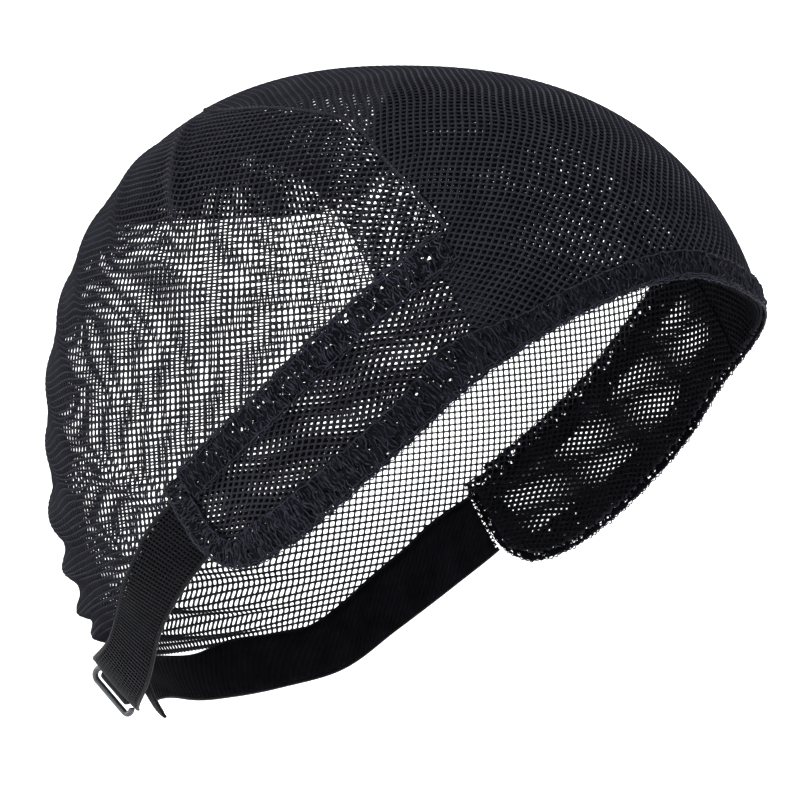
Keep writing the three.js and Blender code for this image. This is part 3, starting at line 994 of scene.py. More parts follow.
@dataclass(frozen=True)
class NetGrain:
    """Course of the back net's rows and columns, as angles aside of the centre back and down."""

    row_step: float = 1.15
    column_step: float = 1.12
    row_slope: float = 0.12
    row_bend: float = 30.0
    seam_rise: float = 0.0035
    seam_start: float = 85.0
    upright_aside: float = 95.0
    upright_bend: float = 80.0
    shift: float = 0.0
    passes: int = 6
    side_reach: float = 132.0
    top_row: float = 26.0
    last_row: float = 158.0

    def row_down(self, place: Array, aside: Array) -> Array:
        """Angle down along a row: it sinks to the sides as a rounded roof and lifts again near the seam."""
        roof = self.row_slope * (np.sqrt(aside**2 + self.row_bend**2) - self.row_bend)
        past = np.maximum(np.abs(aside) - self.seam_start, 0.0)
        return place - roof + self.seam_rise * past**2 * (1 - smooth_step(place, 40.0, 75.0))

    def column_aside(self, place: Array, down: Array) -> Array:
        """Angle aside along a column: its distance from the upright column is divided by sin(down)."""
        upright = self.upright_aside * np.sin(0.5 * math.pi * np.clip(place / self.upright_bend, -1, 1))
        return place + (place - upright) * (1 / np.sin(np.radians(down)) - 1)

    def nodes(self) -> Array:
        """Crossings of rows and columns, found by following each in turn until they agree.

        Returns:
            Directions as columns by rows by three.
        """
        column = np.arange(-self.side_reach, self.side_reach, self.column_step) + self.shift
        row = np.arange(self.top_row, self.last_row, self.row_step) + self.shift
        place_aside, place_down = np.meshgrid(column, row, indexing="ij")
        aside, down = place_aside, place_down
        for _ in range(self.passes):
            down = np.clip(self.row_down(place_down, aside), 24.0, 150.0)
            aside = self.column_aside(place_aside, down)
        return direction_at(Side.RIGHT, 180 - aside, down)


@dataclass
class BackNet:
    """Stretch net of the back, gathered into pleats that fall in chevrons from the centre back."""

    net: KnitNet = KnitNet(knot_radius=0.34, thread_radius=0.235)
    grain: NetGrain = NetGrain()
    wrinkles: NetWrinkles = NetWrinkles()
    offset: float = 0.5
    rear_slack: float = 0.26
    low_slack: float = 0.2

    def slack(self, direction: Array) -> Array:
        """Thickness of the threads over that of the most stretched ones: fuller behind and below."""
        behind = smooth_step(-direction[..., 0], 0.55, 0.95)
        below = smooth_step(-direction[..., 2], 0.0, 0.45)
        return 1 + self.rear_slack * behind + self.low_slack * below

    def region(self) -> Region:
        """Region between the net's lower edge and the crown seam."""
        lower = line_across((NET_BAND_START, *BAND_LINE[1:], *NAPE_SEAM, NET_CENTRE_HEM))
        return Region(outline_of(lower, line_across(CROWN_SEAM), 160))

    def build(self) -> list[bpy.types.Object]:
        """Builds the net as a right and a left half, whose threads run on into each other.

        Returns:
            The two pieces.
        """
        region = self.region()
        nodes = self.wrinkles.gather(self.grain.nodes())
        halves = {side: MeshParts() for side in Side}
        for directions, joins, radius in self.net.strands(nodes, region):
            fade = smooth_step(region.edge_distance(directions), 0.0, self.wrinkles.edge_fade)
            points = FORM.point(directions, self.offset + self.wrinkles.rise(directions) * fade)
            radius = radius * self.slack(directions)
            on_left = directions[:, :-1, 1] + directions[:, 1:, 1] > 0
            for side, chosen in ((Side.LEFT, joins & on_left), (Side.RIGHT, joins & ~on_left)):
                halves[side].add_threads(points, directions, chosen, radius, self.net.sides)
        pieces = []
        for side, parts in halves.items():
            half = parts.piece(f"back_net_{side.label}_mesh")
            finish_piece(half, YARNS.net, ("back_net",))
            pieces.append(half)
        return pieces


@dataclass
class CrownFacing:
    """Facing inside the net, behind the crown seam, of the net's own cloth."""

    net: KnitNet = KnitNet(knot_radius=0.40, thread_radius=0.33, breadth=1.4)
    grain: NetGrain = NetGrain(shift=0.55, row_slope=0.02, column_step=1.2, row_step=1.22)
    offset: float = -0.95
    edge_radius: float = 0.3

    def build(self) -> list[bpy.types.Object]:
        """Builds the facing and its rolled edge.

        Returns:
            The two pieces.
        """
        edge = line_across(FACING_EDGE)
        region = Region(outline_of(edge, line_across(CROWN_SEAM), 130))
        parts = MeshParts()
        self.net.lay(parts, self.grain.nodes(), region, self.offset)
        facing = parts.piece("crown_facing_mesh")
        # The facing takes the lining yarn, darkened as painted shade for an inner layer.
        finish_piece(facing, YARNS.lining, ("crown_facing",))
        hem = MeshParts()
        direction = edge(np.linspace(0, 1, 260))
        hem.add_cord(FORM.point(direction, self.offset), direction, self.edge_radius)
        cord = hem.piece("crown_facing_edge")
        finish_piece(cord, YARNS.seam)
        return [facing, cord]


@dataclass
class EarTab:
    """Ear tab of two layers of net, whose holes part and meet in lighter and darker rows."""

    side: Side
    outer_net: KnitNet = KnitNet(1.95, 1.72, turn=-5.0, skew=-22.0, knot_radius=0.44, thread_radius=0.35)
    inner_net: KnitNet = KnitNet(
        1.9, 1.5, turn=-7.0, skew=-20.0, knot_radius=0.37, thread_radius=0.31, breadth=1.6
    )
    outer_offset: float = 0.1
    inner_offset: float = -0.7
    reach: float = 62.0

    def build(self) -> list[bpy.types.Object]:
        """Builds the outer and the inner layer.

        Returns:
            The two pieces.
        """
        lower, upper = side_hem_line(self.side), SmoothLine(directions_of(self.side, BAND_LINE))
        region = Region(outline_of(lower, upper))
        name = self.side.label
        pieces = []
        outer, inner = (self.outer_offset, self.outer_net), (self.inner_offset, self.inner_net)
        for layer, (offset, net) in (("outer", outer), ("inner", inner)):
            mirrored = replace(net, turn=-self.side.value * net.turn, skew=-self.side.value * net.skew)
            parts = MeshParts()
            mirrored.lay(parts, mirrored.nodes(region.chart, self.reach), region, offset)
            piece = parts.piece(f"side_tab_{name}_{layer}")
            outermost = layer == "outer"
            # The inner layer takes the lining yarn, darkened as painted shade.
            yarn = YARNS.tab if outermost else YARNS.lining
            finish_piece(piece, yarn, (f"side_tab_{name}",) if outermost else ())
            pieces.append(piece)
        return pieces


@dataclass
class LaceRibbon:
    """Elastic lace: a pierced ground with raised petals, ribs across it, edge cords and small loops."""

    name: str
    node: str
    lower: LineFunction
    upper: LineFunction
    flat_width: float
    offset: float = 1.6
    cell: float = 0.62
    ground_wall: float = 0.34
    rib_step: float = 0.56
    petal_step: float = 5.2
    petal_length: float = 2.7
    petal_breadth: float = 2.1
    petal_rise: float = 0.5
    rib_slant: float = 1.5
    rib_samples: int = 9
    rib_radius: float = 0.11
    rib_swell: float = 0.2
    rib_gap_share: float = 0.15
    rib_lift: float = 0.2
    rib_stray: float = 0.32
    rib_rough: float = 0.22
    cell_stray: float = 0.2
    edge_stray: float = 0.3
    ring_reach: float = 1.4
    hole_share: float = 0.07
    cord_radius: float = 0.19
    cord_lift: float = 0.25
    cord_rows: Rows = ((0.04, 0.012), (0.12, 0.02), (0.95, 0.015))
    picot_step: float = 1.5
    picot_radius: float = 0.17
    seed: int = 3
    both_picots: bool = False

    def place(self, along: Array, across: Array, offset: Array | float) -> tuple[Array, Array]:
        """Points and outward directions at shares along and across the ribbon.

        Args:
            along: Shares along the ribbon.
            across: Shares across it, which may pass 0 and 1 a little.
            offset: Distance from the form.

        Returns:
            The points and the directions.
        """
        direction = between(self.lower, self.upper, along, across)
        return FORM.point(direction, offset), direction

    def petal(self, run: Array, across: Array) -> tuple[Array, Array]:
        """Distance from the nearest petal's middle, 1 at its rim, and the bearing there.

        Petals stand one step apart, above and below the middle by turns.

        Args:
            run: Millimetres along the ribbon.
            across: Shares across it.

        Returns:
            The distance and the bearing in radians.
        """
        number = np.floor(run / self.petal_step)
        ahead = run - (number + 0.5) * self.petal_step
        middle = np.where(number % 2 == 0, 0.36, 0.64)
        above = (across - middle) * self.flat_width
        slant = np.where(number % 2 == 0, 0.5, -0.5)
        ahead, above = ahead - slant * above, above + 0.3 * slant * ahead
        return np.hypot(ahead / self.petal_length, above / self.petal_breadth), np.arctan2(above, ahead)

    def relief(self, run: Array, across: Array) -> Array:
        """Height of the petals: the petal's rise times one less its squared distance."""
        distance, _ = self.petal(run, across)
        return self.petal_rise * np.clip(1 - distance**2, 0, 1)

    def ground(self) -> bpy.types.Object:
        """Builds the pierced ground: a grid of small cells without those of its holes.

        Holes stand in a ring round each petal, where the sine of six bearings is positive, and a seeded
        share of the other cells outside the petals is open too.

        Returns:
            The ground's piece, with a thin wall.
        """
        length = line_length(self.lower, self.offset)
        columns = max(int(length / self.cell), 8)
        rows = max(int(self.flat_width / self.cell), 4)
        lengthways, sideways = np.linspace(0, 1, columns + 1), np.linspace(0, 1, rows + 1)
        along, across = np.meshgrid(lengthways, sideways, indexing="ij")
        scatter = np.random.default_rng(self.seed)
        wobble = scatter.normal(0, self.cell_stray, along.shape) * self.cell / length
        wobble[0], wobble[-1] = 0, 0
        swing = scatter.normal(0, 0.18, along.shape) / rows
        for edge in (0, -1):
            swing[:, edge] = scatter.normal(0, self.edge_stray, columns + 1) / rows
        lift = self.relief(along * length, across) + scatter.normal(0, 0.06, along.shape)
        points, _ = self.place(along + wobble, across + swing, self.offset + lift)
        middle_run = (along[:-1, :-1] + 0.5 / columns) * length
        middle_across = across[:-1, :-1] + 0.5 / rows
        distance, bearing = self.petal(middle_run, middle_across)
        ring = (distance > 1.0) & (distance < self.ring_reach) & (np.sin(6 * bearing) > 0.35)
        loose = (distance > 1.0) & (scatter.random(distance.shape) < self.hole_share)
        edge = (middle_across < 1.1 / rows) | (middle_across > 1 - 1.1 / rows)
        kept = edge | ~(ring | loose)
        quads = grid_quads(grid_numbers(points))[kept]
        flat = np.stack([along * length, across * self.flat_width], axis=-1).reshape(-1, 2)
        parts = MeshParts()
        parts.add(points.reshape(-1, 3), quads, flat[quads])
        piece = parts.piece(f"{self.name}_ground")
        thicken(piece, self.ground_wall)
        return piece

    def threads(self) -> bpy.types.Object:
        """Builds the ribs, the edge cords and the loops.

        Ribs cross the ribbon and lean to and fro with a sine of the way along it, over the petals.

        Returns:
            The threads' piece.
        """
        parts = MeshParts()
        length = line_length(self.lower, self.offset)
        scatter = np.random.default_rng(self.seed + 1)
        count = int(length / self.rib_step)
        start = (np.arange(count) + 0.5) * length / count
        across = np.linspace(0.02, 0.98, self.rib_samples)
        lean = self.rib_slant * np.sin(2 * math.pi * start / self.petal_step)[:, None] * (across - 0.5)
        run = np.clip(start[:, None] + lean + scatter.normal(0, self.rib_stray, lean.shape), 0, length)
        place = np.broadcast_to(across, run.shape)
        rough = scatter.normal(0, self.rib_rough, run.shape)
        height = self.offset + self.rib_lift + self.relief(run, place) + rough
        points, normals = self.place(run / length, place, height)
        radius = self.rib_radius + self.rib_swell * scatter.random(run.shape)
        joins = scatter.random((count, self.rib_samples - 1)) > self.rib_gap_share
        parts.add_threads(points, normals, joins, radius)
        along = np.linspace(0, 1, int(length / 0.6))
        run = along * length
        for edge, sway in self.cord_rows:
            place = edge + sway * np.sin(2 * math.pi * run / self.petal_step + 8 * edge)
            place = place + scatter.normal(0, 0.015, run.shape)
            rough = scatter.normal(0, 0.1, run.shape)
            height = self.offset + self.cord_lift + self.relief(run, place) + rough
            points, normals = self.place(along, place, height)
            parts.add_cord(points, normals, self.cord_radius, 4)
        for edge in (0.0, 1.0) if self.both_picots else (0.0,):
            self.add_picots(parts, length, edge)
        return parts.piece(f"{self.name}_threads")

    def add_picots(self, parts: MeshParts, length: float, edge: float) -> None:
        """Adds a row of small uneven loops outside an edge.

        The way out is the size of a sine with one loop in each step, times a slow swell.

        Args:
            parts: Mesh that the loops go to.
            length: Length of the ribbon.
            edge: Share across the ribbon where the loops stand.
        """
        run = np.linspace(0, length, int(length / self.picot_step) * 5)
        swell = 0.35 + 0.2 * np.sin(run * 0.9) + 0.15 * np.sin(run * 2.3)
        out = np.abs(np.sin(math.pi * run / self.picot_step)) * swell / self.flat_width
        place = edge - out if edge == 0.0 else edge + out
        points, normals = self.place(run / length, place, self.offset + 0.1)
        parts.add_cord(points, normals, self.picot_radius, 4)

    def build(self) -> list[bpy.types.Object]:
        """Builds the ground and the threads on it.

        Returns:
            The two pieces.
        """
        ground, threads = self.ground(), self.threads()
        finish_piece(ground, YARNS.lace_ground, (self.node,))
        finish_piece(threads, YARNS.lace)
        return [ground, threads]


def width_rows(share: Array, rows: Rows) -> Array:
    """Smooth width between rows of a share and a width, mirrored about the middle of the line."""
    share = np.minimum(share, 1 - share)
    width = np.full(share.shape, rows[0][1], dtype=float)
    for (low, _), (high, wide) in zip(rows, rows[1:]):
        width = np.where(share > low, width + (wide - width) * smooth_step(share, low, high), width)
    return width


@dataclass
class LaceSet:
    """Hem lace round the cap and the diagonal lace bands of both sides."""

    overhang: float = 0.8
    hem_width: float = 8.3
    band_width: float = 8.5
    band_trim: float = 5.2
    hem_seed: int = 11
    band_seed: int = 20
    widths: Rows = ((0, 6), (0.07, 6), (0.12, 9), (0.26, 9), (0.3, 11), (0.36, 6.5), (0.5, 6.5))

    def hem_edge(self) -> SmoothLine:
        """Edge that the hem lace follows, from one tab's end round the cap to the other's."""
        rows = (*LACE_TURN[::-1], *SIDE_HEM[-2::-1])
        right, left = directions_of(Side.RIGHT, rows), directions_of(Side.LEFT, rows)
        return SmoothLine(np.concatenate([right, brow_directions(), left[::-1]]))

    def build(self) -> list[bpy.types.Object]:
        """Builds the three ribbons.

        Returns:
            All their pieces.
        """
        edge = self.hem_edge()
        hem = LaceRibbon(
            name="hem_lace",
            node="hem_lace",
            lower=line_shifted(edge, -self.overhang),
            upper=line_beside(edge, lambda share: width_rows(share, self.widths)),
            flat_width=self.hem_width,
            seed=self.hem_seed,
        )
        pieces = hem.build()
        for side in Side:
            centre = SmoothLine(directions_of(side, BAND_LINE))
            length = line_length(centre, 1.3)
            end = 1 - self.band_trim / length
            half = 0.5 * self.band_width
            name = side.label
            lower, upper = line_shifted(centre, -half), line_shifted(centre, half)
            band = LaceRibbon(
                name=f"lace_band_{name}",
                node=f"lace_band_{name}",
                lower=lambda share, line=lower, last=end: line(np.asarray(share) * last),
                upper=lambda share, line=upper, last=end: line(np.asarray(share) * last),
                flat_width=self.band_width,
                seed=self.band_seed + side.value,
                both_picots=True,
            )
            pieces += band.build()
        return pieces


@dataclass
class NapeBand:
    """Narrow knitted band of the nape, with rows across it and columns along it."""

    side: Side
    width: float = 21.0
    row_step: float = 1.35
    column_step: float = 1.3
    row_radius: float = 0.34
    column_radius: float = 0.25
    row_offset: float = 0.78
    column_offset: float = 0.72
    back_wall: float = 0.3
    back_step: float = 2.5
    sample_step: float = 1.6
    row_shear: float = 0.42
    end_flare: float = 5.4
    loose_flare: float = 4.0
    inner_sink: float = 1.5
    edge_offset: float = 0.6
    edge_rows: Rows = ((0.0, 0.45), (0.03, 0.3), (1.0, 0.6))

    def lines(self) -> tuple[SmoothLine, SmoothLine]:
        """Lower and upper line of the band."""
        upper, lower = (NAPE_SEAM_START, *NAPE_SEAM), NAPE_HEM
        if self.side is Side.LEFT:
            upper, lower = (*upper, *LOOSE_UPPER), (*lower, *LOOSE_LOWER)
        return SmoothLine(directions_of(self.side, lower)), SmoothLine(directions_of(self.side, upper))

    def length(self) -> float:
        """Length of the band's lower edge in millimetres."""
        return line_length(self.lines()[0], 0.5)

    def lift(self, along: Array, across: Array) -> Array:
        """Distance that the band stands off the form.

        The right band flares out towards its hooked end. The left one sinks inside it past the centre
        back, and its lower corner bends out again.

        Args:
            along: Shares along the band.
            across: Shares across it from its lower edge.

        Returns:
            Millimetres outward.
        """
        if self.side is Side.RIGHT:
            return self.end_flare * smooth_step(along, 0.5, 1.0)
        outward = self.loose_flare * (1 - across) * smooth_step(along, 0.8, 1.0)
        return outward - self.inner_sink * smooth_step(along, 0.5, 0.68)

    def place(self, along: Array, across: Array, offset: float) -> tuple[Array, Array]:
        """Points and outward directions at shares along and across the band."""
        direction = between(*self.lines(), along, across)
        return FORM.point(direction, offset + self.lift(along, across)), direction

    def mesh(self) -> bpy.types.Object:
        """Builds the band's rows and columns.

        Returns:
            The mesh's piece.
        """
        length = self.length()
        parts = MeshParts()
        shear = self.row_shear * self.width / length
        across = np.linspace(0, 1, 19)
        start = np.arange(-shear, 1.0, self.row_step / length)
        fade = 1 - smooth_step(start, 0.25, 0.8)
        along = start[:, None] + shear * fade[:, None] * across[None, :]
        inside = (along >= 0) & (along <= 1)
        joins = inside[:, :-1] & inside[:, 1:]
        along = np.clip(along, 0, 1)
        points, normals = self.place(along, np.broadcast_to(across, along.shape), self.row_offset)
        parts.add_threads(points, normals, joins, self.row_radius)
        count = int(self.width / self.column_step)
        across = (np.arange(count) + 0.5) / count
        along = np.linspace(0, 1, int(length / self.sample_step))
        grid_along, grid_across = np.meshgrid(along, across)
        points, normals = self.place(grid_along, grid_across, self.column_offset)
        parts.add_threads(points, normals, np.ones((count, len(along) - 1), dtype=bool), self.column_radius)
        return parts.piece(f"nape_band_{self.side.label}_mesh")

    def back(self) -> bpy.types.Object:
        """Builds the close-knit back of the band, a thin cloth behind its open face.

        Returns:
            The back's piece, with a thin wall.
        """
        length = self.length()
        lengthways = np.linspace(0.005, 0.99, int(length / self.back_step) + 1)
        along, across = np.meshgrid(lengthways, np.linspace(0.01, 0.97, 9), indexing="ij")
        points, _ = self.place(along, across, 0.0)
        quads = grid_quads(grid_numbers(points)).reshape(-1, 4)
        flat = np.stack([along * length, across * self.width], axis=-1).reshape(-1, 2)
        parts = MeshParts()
        parts.add(points.reshape(-1, 3), quads, flat[quads])
        piece = parts.piece(f"nape_band_{self.side.label}_back")
        thicken(piece, self.back_wall)
        return piece

    def edges(self) -> bpy.types.Object:
        """Builds the bound edges, the raised seam along the net and the loose end's own edge.

        Returns:
            The edges' piece.
        """
        parts = MeshParts()
        along = np.linspace(0, 1, 200)
        for across, radius in self.edge_rows:
            points, normals = self.place(along, np.full_like(along, across), self.edge_offset)
            parts.add_cord(points, normals, radius, 6)
        if self.side is Side.LEFT:
            across = np.linspace(0, 1, 30)
            points, normals = self.place(np.full_like(across, 0.994), across, 0.5)
            parts.add_cord(points, normals, 0.45, 6)
        return parts.piece(f"nape_band_{self.side.label}_edges")

    def build(self) -> list[bpy.types.Object]:
        """Builds the mesh, the edges and the back.

        Returns:
            The three pieces.
        """
        name = self.side.label
        mesh, edges, back = self.mesh(), self.edges(), self.back()
        # The mesh and the edges take the band yarn, darkened as painted shade.
        finish_piece(mesh, YARNS.band, (f"nape_band_{name}",))
        finish_piece(edges, YARNS.band)
        finish_piece(back, YARNS.close_knit)
        size = (0.021, self.length() * METRES)
        return [mesh, edges, back]


@dataclass
class NapeHook:
    """Hook of bent wire in the fold of the right band's end, turned away from the band."""

    band: NapeBand
    fold_radius: float = 2.0
    fold_bore: float = 1.1
    fold_length: float = 10.4
    fold_grip: float = 0.5
    wire: float = 1.6
    throat: float = 3.8
    length: float = 11.6
    tilt: float = 60.0
    curl_radius: float = 1.4
    curl_turn: float = 140.0
    wall: float = 1.0

    def end_frame(self) -> tuple[Array, Array, Array, Array]:
        """Middle of the fold and the directions along the band's end, outward from it and away.

        Returns:
            The middle in millimetres and three unit directions.
        """
        lower, upper = self.band.lines()
        offset = self.band.end_flare + self.wall / 2
        one, near = np.array(1.0), np.array(0.9)
        top, bottom = FORM.point(upper(one), offset), FORM.point(lower(one), offset)
        middle = (top + bottom) / 2
        along = unit(bottom - top)
        inside = FORM.point(unit(upper(near) + lower(near)), offset)
        outward = middle - inside
        outward = unit(outward - along * (outward @ along))
        away = np.cross(along, outward)
        away = away * math.copysign(1.0, float(away @ np.array([middle[0], middle[1], 0.0])))
        return middle + outward * (self.fold_radius - self.fold_grip), along, outward, away

    def fold(self) -> bpy.types.Object:
        """Builds the folded sleeve of the band's end, a tube with rounded rims.

        The section of the wall goes from the outer radius round the rim to the bore: its distance from
        the sleeve's line is the middle radius plus half the wall times cos(a), and its place along the
        line is half the length plus half the wall times sin(a) at each end.

        Returns:
            The sleeve's piece.
        """
        middle, along, outward, _ = self.end_frame()
        across = np.cross(along, outward)
        half_wall = (self.fold_radius - self.fold_bore) / 2
        centre = (self.fold_radius + self.fold_bore) / 2
        half = self.fold_length / 2 - half_wall
        rim = np.linspace(0, math.pi, 7)
        steps = np.linspace(-half, half, 15)[1:-1]
        inner, outer = (np.full(len(steps), centre + way * half_wall) for way in (-1, 1))
        swing, rise = half_wall * np.cos(rim), half_wall * np.sin(rim)
        reach = np.concatenate([centre + swing, inner, centre - swing, outer])
        lengthways = np.concatenate([half + rise, steps[::-1], -half - rise, steps])
        turn = np.linspace(0, 2 * math.pi, 28, endpoint=False)
        spoke = np.cos(turn)[:, None] * outward + np.sin(turn)[:, None] * across
        points = middle + reach[None, :, None] * spoke[:, None, :] + lengthways[None, :, None] * along
        number = grid_numbers(points)
        right, below = np.roll(number, -1, axis=0), np.roll(number, -1, axis=1)
        corner = np.roll(right, -1, axis=1)
        quads = np.stack([number, right, corner, below], axis=-1).reshape(-1, 4)
        round_it, along_it = turn * self.fold_radius, np.cumsum(np.full(len(reach), 0.5))
        place = np.stack(np.meshgrid(round_it, along_it, indexing="ij"), axis=-1)
        parts = MeshParts()
        parts.add(points.reshape(-1, 3), quads, place.reshape(-1, 2)[quads])
        return parts.piece("nape_band_fold")

    def path(self) -> Array:
        """Points along the wire: inner bar, round bend, outer bar and curled end.

        Returns:
            Points in millimetres.
        """
        middle, along, outward, away = self.end_frame()
        hanging = outward * math.cos(math.radians(self.tilt)) + away * math.sin(math.radians(self.tilt))
        half, bend = self.length / 2, self.throat / 2
        turn = np.linspace(0, math.pi, 18)[1:-1]
        curl = np.linspace(0, math.radians(self.curl_turn), 14)[1:]
        centre = self.throat - self.curl_radius
        inner_bar, outer_bar = np.linspace(half - self.wire / 2, -half, 14), np.linspace(-half, half, 16)
        curl_along, curl_out = self.curl_radius * np.sin(curl), centre + self.curl_radius * np.cos(curl)
        lengthways = np.concatenate([inner_bar, -half - bend * np.sin(turn), outer_bar, half + curl_along])
        bend_out, outer_out = bend - bend * np.cos(turn), np.full(len(outer_bar), self.throat)
        reach = np.concatenate([np.zeros(len(inner_bar)), bend_out, outer_out, curl_out])
        return middle + lengthways[:, None] * along + reach[:, None] * hanging

    def build(self) -> list[bpy.types.Object]:
        """Builds the hook and the sleeve.

        Returns:
            The two pieces.
        """
        _, along, outward, away = self.end_frame()
        path = self.path()
        parts = MeshParts()
        normals = np.broadcast_to(np.cross(along, unit(outward + away)), path.shape)
        radius = np.full(len(path), self.wire / 2)
        radius[[0, -1]] = 0.35 * self.wire
        parts.add_cord(path, normals, radius[None], 14)
        hook = parts.piece("nape_hook_wire")
        finish_piece(hook, WireFinish(), ("nape_hook",))
        fold = self.fold()
        # The sleeve takes the band yarn, darkened as painted shade.
        finish_piece(fold, YARNS.band)
        return [hook, fold]


@dataclass
class HookLoop:
    """Raised loop of elastic tape across the left band, which takes the hook."""

    place_round: float = 160.0
    top: float = 129.6
    bottom: float = 136.4
    width: float = 4.0
    rise: float = 2.0
    offset: float = 1.8
    cords: int = 6
    cord_radius: float = 0.4
    thread_radius: float = 0.14

    def build(self) -> list[bpy.types.Object]:
        """Builds the loop from cords side by side, bound by threads across them.

        Returns:
            The loop's piece.
        """
        ends = [direction_at(Side.LEFT, self.place_round, down) for down in (self.top, self.bottom)]
        centre = SmoothLine(np.stack([ends[0], unit(ends[0] + ends[1]), ends[1]]))
        share = np.linspace(0, 1, 40)
        arch = self.rise * np.sin(math.pi * share)
        parts = MeshParts()
        for number in range(self.cords):
            shift = ((number + 0.5) / self.cords - 0.5) * self.width
            direction = line_shifted(centre, shift)(share)
            parts.add_cord(FORM.point(direction, self.offset + arch), direction, self.cord_radius, 6)
        across = np.linspace(-0.5, 0.5, 8)
        along = np.linspace(0.02, 0.98, 26)
        direction = np.stack([line_shifted(centre, step * self.width)(along) for step in across], axis=1)
        height = self.offset + 0.34 + self.rise * np.sin(math.pi * along)[:, None]
        points = FORM.point(direction, np.broadcast_to(height, direction.shape[:2]))
        joins = np.ones((len(along), len(across) - 1), dtype=bool)
        parts.add_threads(points, direction, joins, self.thread_radius, 4)
        loop = parts.piece("hook_loop_tape")
        finish_piece(loop, YARNS.lace, ("hook_loop",))
        return [loop]


@dataclass
class Seams:
    """Overlocked seam cord of the crown and the hem cord of the net's centre back."""

    cord_radius: float = 0.42
    stitch_step: float = 1.3
    stitch_radius: float = 0.13
    crown_offset: float = 0.75
    hem_offset: float = 0.6

    def overlocked(self, name: str, line: LineFunction, offset: float) -> bpy.types.Object:
        """Builds a seam cord with a stitch thread wound round it.

        The stitch is a helix: the cord's point plus its radius times cos(a) sideways and sin(a) outward,
        with one turn for each stitch.

        Args:
            name: Name of the piece.
            line: Line of the seam on the form.
            offset: Distance of the cord's middle from the form.

        Returns:
            The seam's piece.
        """
        length = line_length(line, offset)
        share = np.linspace(0, 1, int(length / 1.2))
        direction = line(share)
        parts = MeshParts()
        parts.add_cord(FORM.point(direction, offset), direction, self.cord_radius, 8)
        share = np.linspace(0, 1, int(length / self.stitch_step * 8))
        direction = line(share)
        points = FORM.point(direction, offset)
        heading = unit(np.gradient(points, axis=0))
        aside = unit(np.cross(direction, heading))
        outward = np.cross(heading, aside)
        turn = 2 * math.pi * share * length / self.stitch_step
        reach = self.cord_radius + 0.6 * self.stitch_radius
        helix = points + reach * (np.cos(turn)[:, None] * aside + np.sin(turn)[:, None] * outward)
        parts.add_cord(helix, outward, self.stitch_radius, 4)
        return parts.piece(name)

    def build(self) -> list[bpy.types.Object]:
        """Builds the seams.

        Returns:
            Their pieces.
        """
        crown = self.overlocked("crown_seam_cord", line_across(CROWN_SEAM), self.crown_offset)
        finish_piece(crown, YARNS.seam)
        hem_line = line_across((NAPE_SEAM[-1], NET_HEM_ROW, NET_CENTRE_HEM))
        hem = self.overlocked("net_hem_cord", hem_line, self.hem_offset)
        finish_piece(hem, YARNS.seam)
        return [crown, hem]


@dataclass(frozen=True)
class SoftLight:
    """Square soft light, with its place and side in metres and its power in watts."""

    name: str
    place: tuple[float, float, float]
    side: float
    power: float

    def add(self, target: Vector) -> None:
        """Adds the light to the scene, facing a target."""
        lamp = bpy.data.lights.new(self.name, "AREA")
        lamp.shape = "SQUARE"
        lamp.size = self.side
        lamp.energy = self.power
        holder = bpy.data.objects.new(self.name, lamp)
        holder.location = self.place
        aim = target - Vector(self.place)
        holder.rotation_euler = aim.to_track_quat("-Z", "Y").to_euler()
        bpy.context.scene.collection.objects.link(holder)


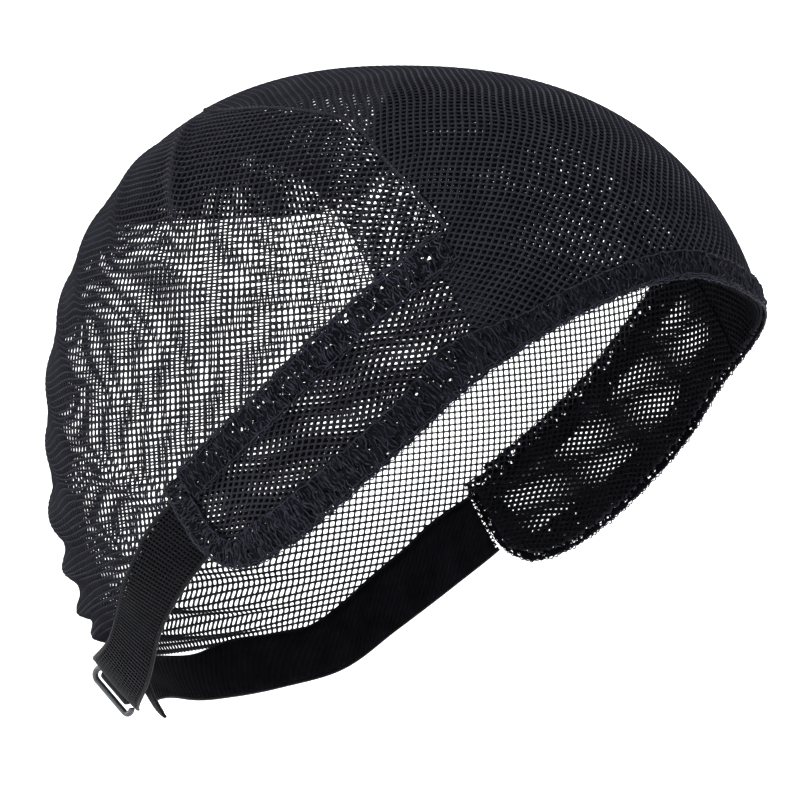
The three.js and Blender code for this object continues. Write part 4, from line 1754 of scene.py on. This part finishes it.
@dataclass
class Studio:
    """Pale floor that curves up into a round backdrop, soft lights and the camera."""

    floor_height: float = -0.25
    floor_radius: float = 4.0
    curve_radius: float = 2.0
    wall_height: float = 4.0
    camera_turn: float = 30.0
    camera_distance: float = 2.5
    frame_width: float = 0.202
    sensor: float = 36.0
    target: tuple[float, float, float] = (0.0, 0.0, -0.0833)
    world_strength: float = 0.6
    lights: tuple[SoftLight, ...] = (
        SoftLight("key_light", (1.4, -1.6, 1.5), 1.2, 60.0),
        SoftLight("side_light", (-1.8, -1.2, 0.7), 1.2, 34.0),
        SoftLight("top_light", (0.0, 0.2, 2.2), 1.6, 40.0),
        SoftLight("back_light", (-0.8, 1.9, 1.0), 1.2, 26.0),
    )

    def backdrop(self) -> bpy.types.Object:
        """Builds the floor and backdrop, a profile turned round the upright axis.

        The profile is a level line, a quarter circle and an upright line.

        Returns:
            The backdrop.
        """
        bend = np.linspace(0, math.pi / 2, 14)
        level = np.linspace(0.02, self.floor_radius, 8)[:-1]
        wall = self.floor_radius + self.curve_radius
        reach = np.concatenate([level, self.floor_radius + self.curve_radius * np.sin(bend), [wall]])
        height = np.concatenate([np.zeros(7), self.curve_radius * (1 - np.cos(bend)), [self.wall_height]])
        turn = np.linspace(0, 2 * math.pi, 96, endpoint=False)
        upright = np.broadcast_to(height + self.floor_height, (96, len(reach)))
        points = np.stack([np.cos(turn)[:, None] * reach, np.sin(turn)[:, None] * reach, upright], axis=-1)
        number = grid_numbers(points)
        right = np.roll(number, -1, axis=0)
        corners = [number[:, :-1], number[:, 1:], right[:, 1:], right[:, :-1]]
        quads = np.stack(corners, axis=-1).reshape(-1, 4)
        disc = number[:, 0].reshape(1, -1)
        parts = MeshParts()
        zero = np.zeros((len(quads), 4, 2))
        parts.add(points.reshape(-1, 3) / METRES, quads, zero, disc, np.zeros((1, disc.shape[1], 2)))
        floor = parts.piece("studio_floor")
        floor.data.materials.append(BackdropFinish().material())
        return floor

    def camera(self) -> bpy.types.Object:
        """Sets the camera level with the cap's middle at the photographed angle.

        Returns:
            The camera.
        """
        lens = bpy.data.cameras.new("view_camera")
        lens.sensor_width = self.sensor
        lens.lens = self.sensor * self.camera_distance / self.frame_width
        lens.clip_start, lens.clip_end = 0.05, 30.0
        camera = bpy.data.objects.new("view_camera", lens)
        turn = math.radians(self.camera_turn)
        heading = Vector((math.sin(turn), -math.cos(turn), 0.0))
        camera.location = Vector(self.target) + heading * self.camera_distance
        camera.rotation_euler = (-heading).to_track_quat("-Z", "Y").to_euler()
        bpy.context.scene.collection.objects.link(camera)
        bpy.context.scene.camera = camera
        return camera

    def build(self) -> None:
        """Builds the backdrop, the camera, the lights and the even surrounding light."""
        self.backdrop()
        self.camera()
        for light in self.lights:
            light.add(Vector(self.target))
        world = bpy.data.worlds.new("soft_world")
        bpy.context.scene.world = world
        world.use_nodes = True
        back = world.node_tree.nodes["Background"]
        back.inputs["Color"].default_value = (1.0, 1.0, 1.0, 1.0)
        back.inputs["Strength"].default_value = self.world_strength
        bpy.context.scene.view_settings.view_transform = "Standard"


def report(pieces: list[bpy.types.Object]) -> None:
    """Logs the triangle count of each piece."""
    for piece in pieces:
        triangles = sum(len(face.vertices) - 2 for face in piece.data.polygons)
        LOG.info("%s: %d triangles", piece.name, triangles)


def main() -> None:
    """Builds the studio and each part of the cap in order."""
    logging.basicConfig(level=logging.INFO, format="%(name)s %(message)s")
    Studio().build()
    right_band = NapeBand(Side.RIGHT)
    report(Seams().build())
    report(LaceSet().build())
    for maker in (FrontPanel(), BackNet(), CrownFacing(), EarTab(Side.RIGHT), EarTab(Side.LEFT)):
        report(maker.build())
    report(right_band.build())
    report(NapeBand(Side.LEFT).build())
    report(NapeHook(right_band).build())
    report(HookLoop().build())


if __name__ == "__main__":
    main()
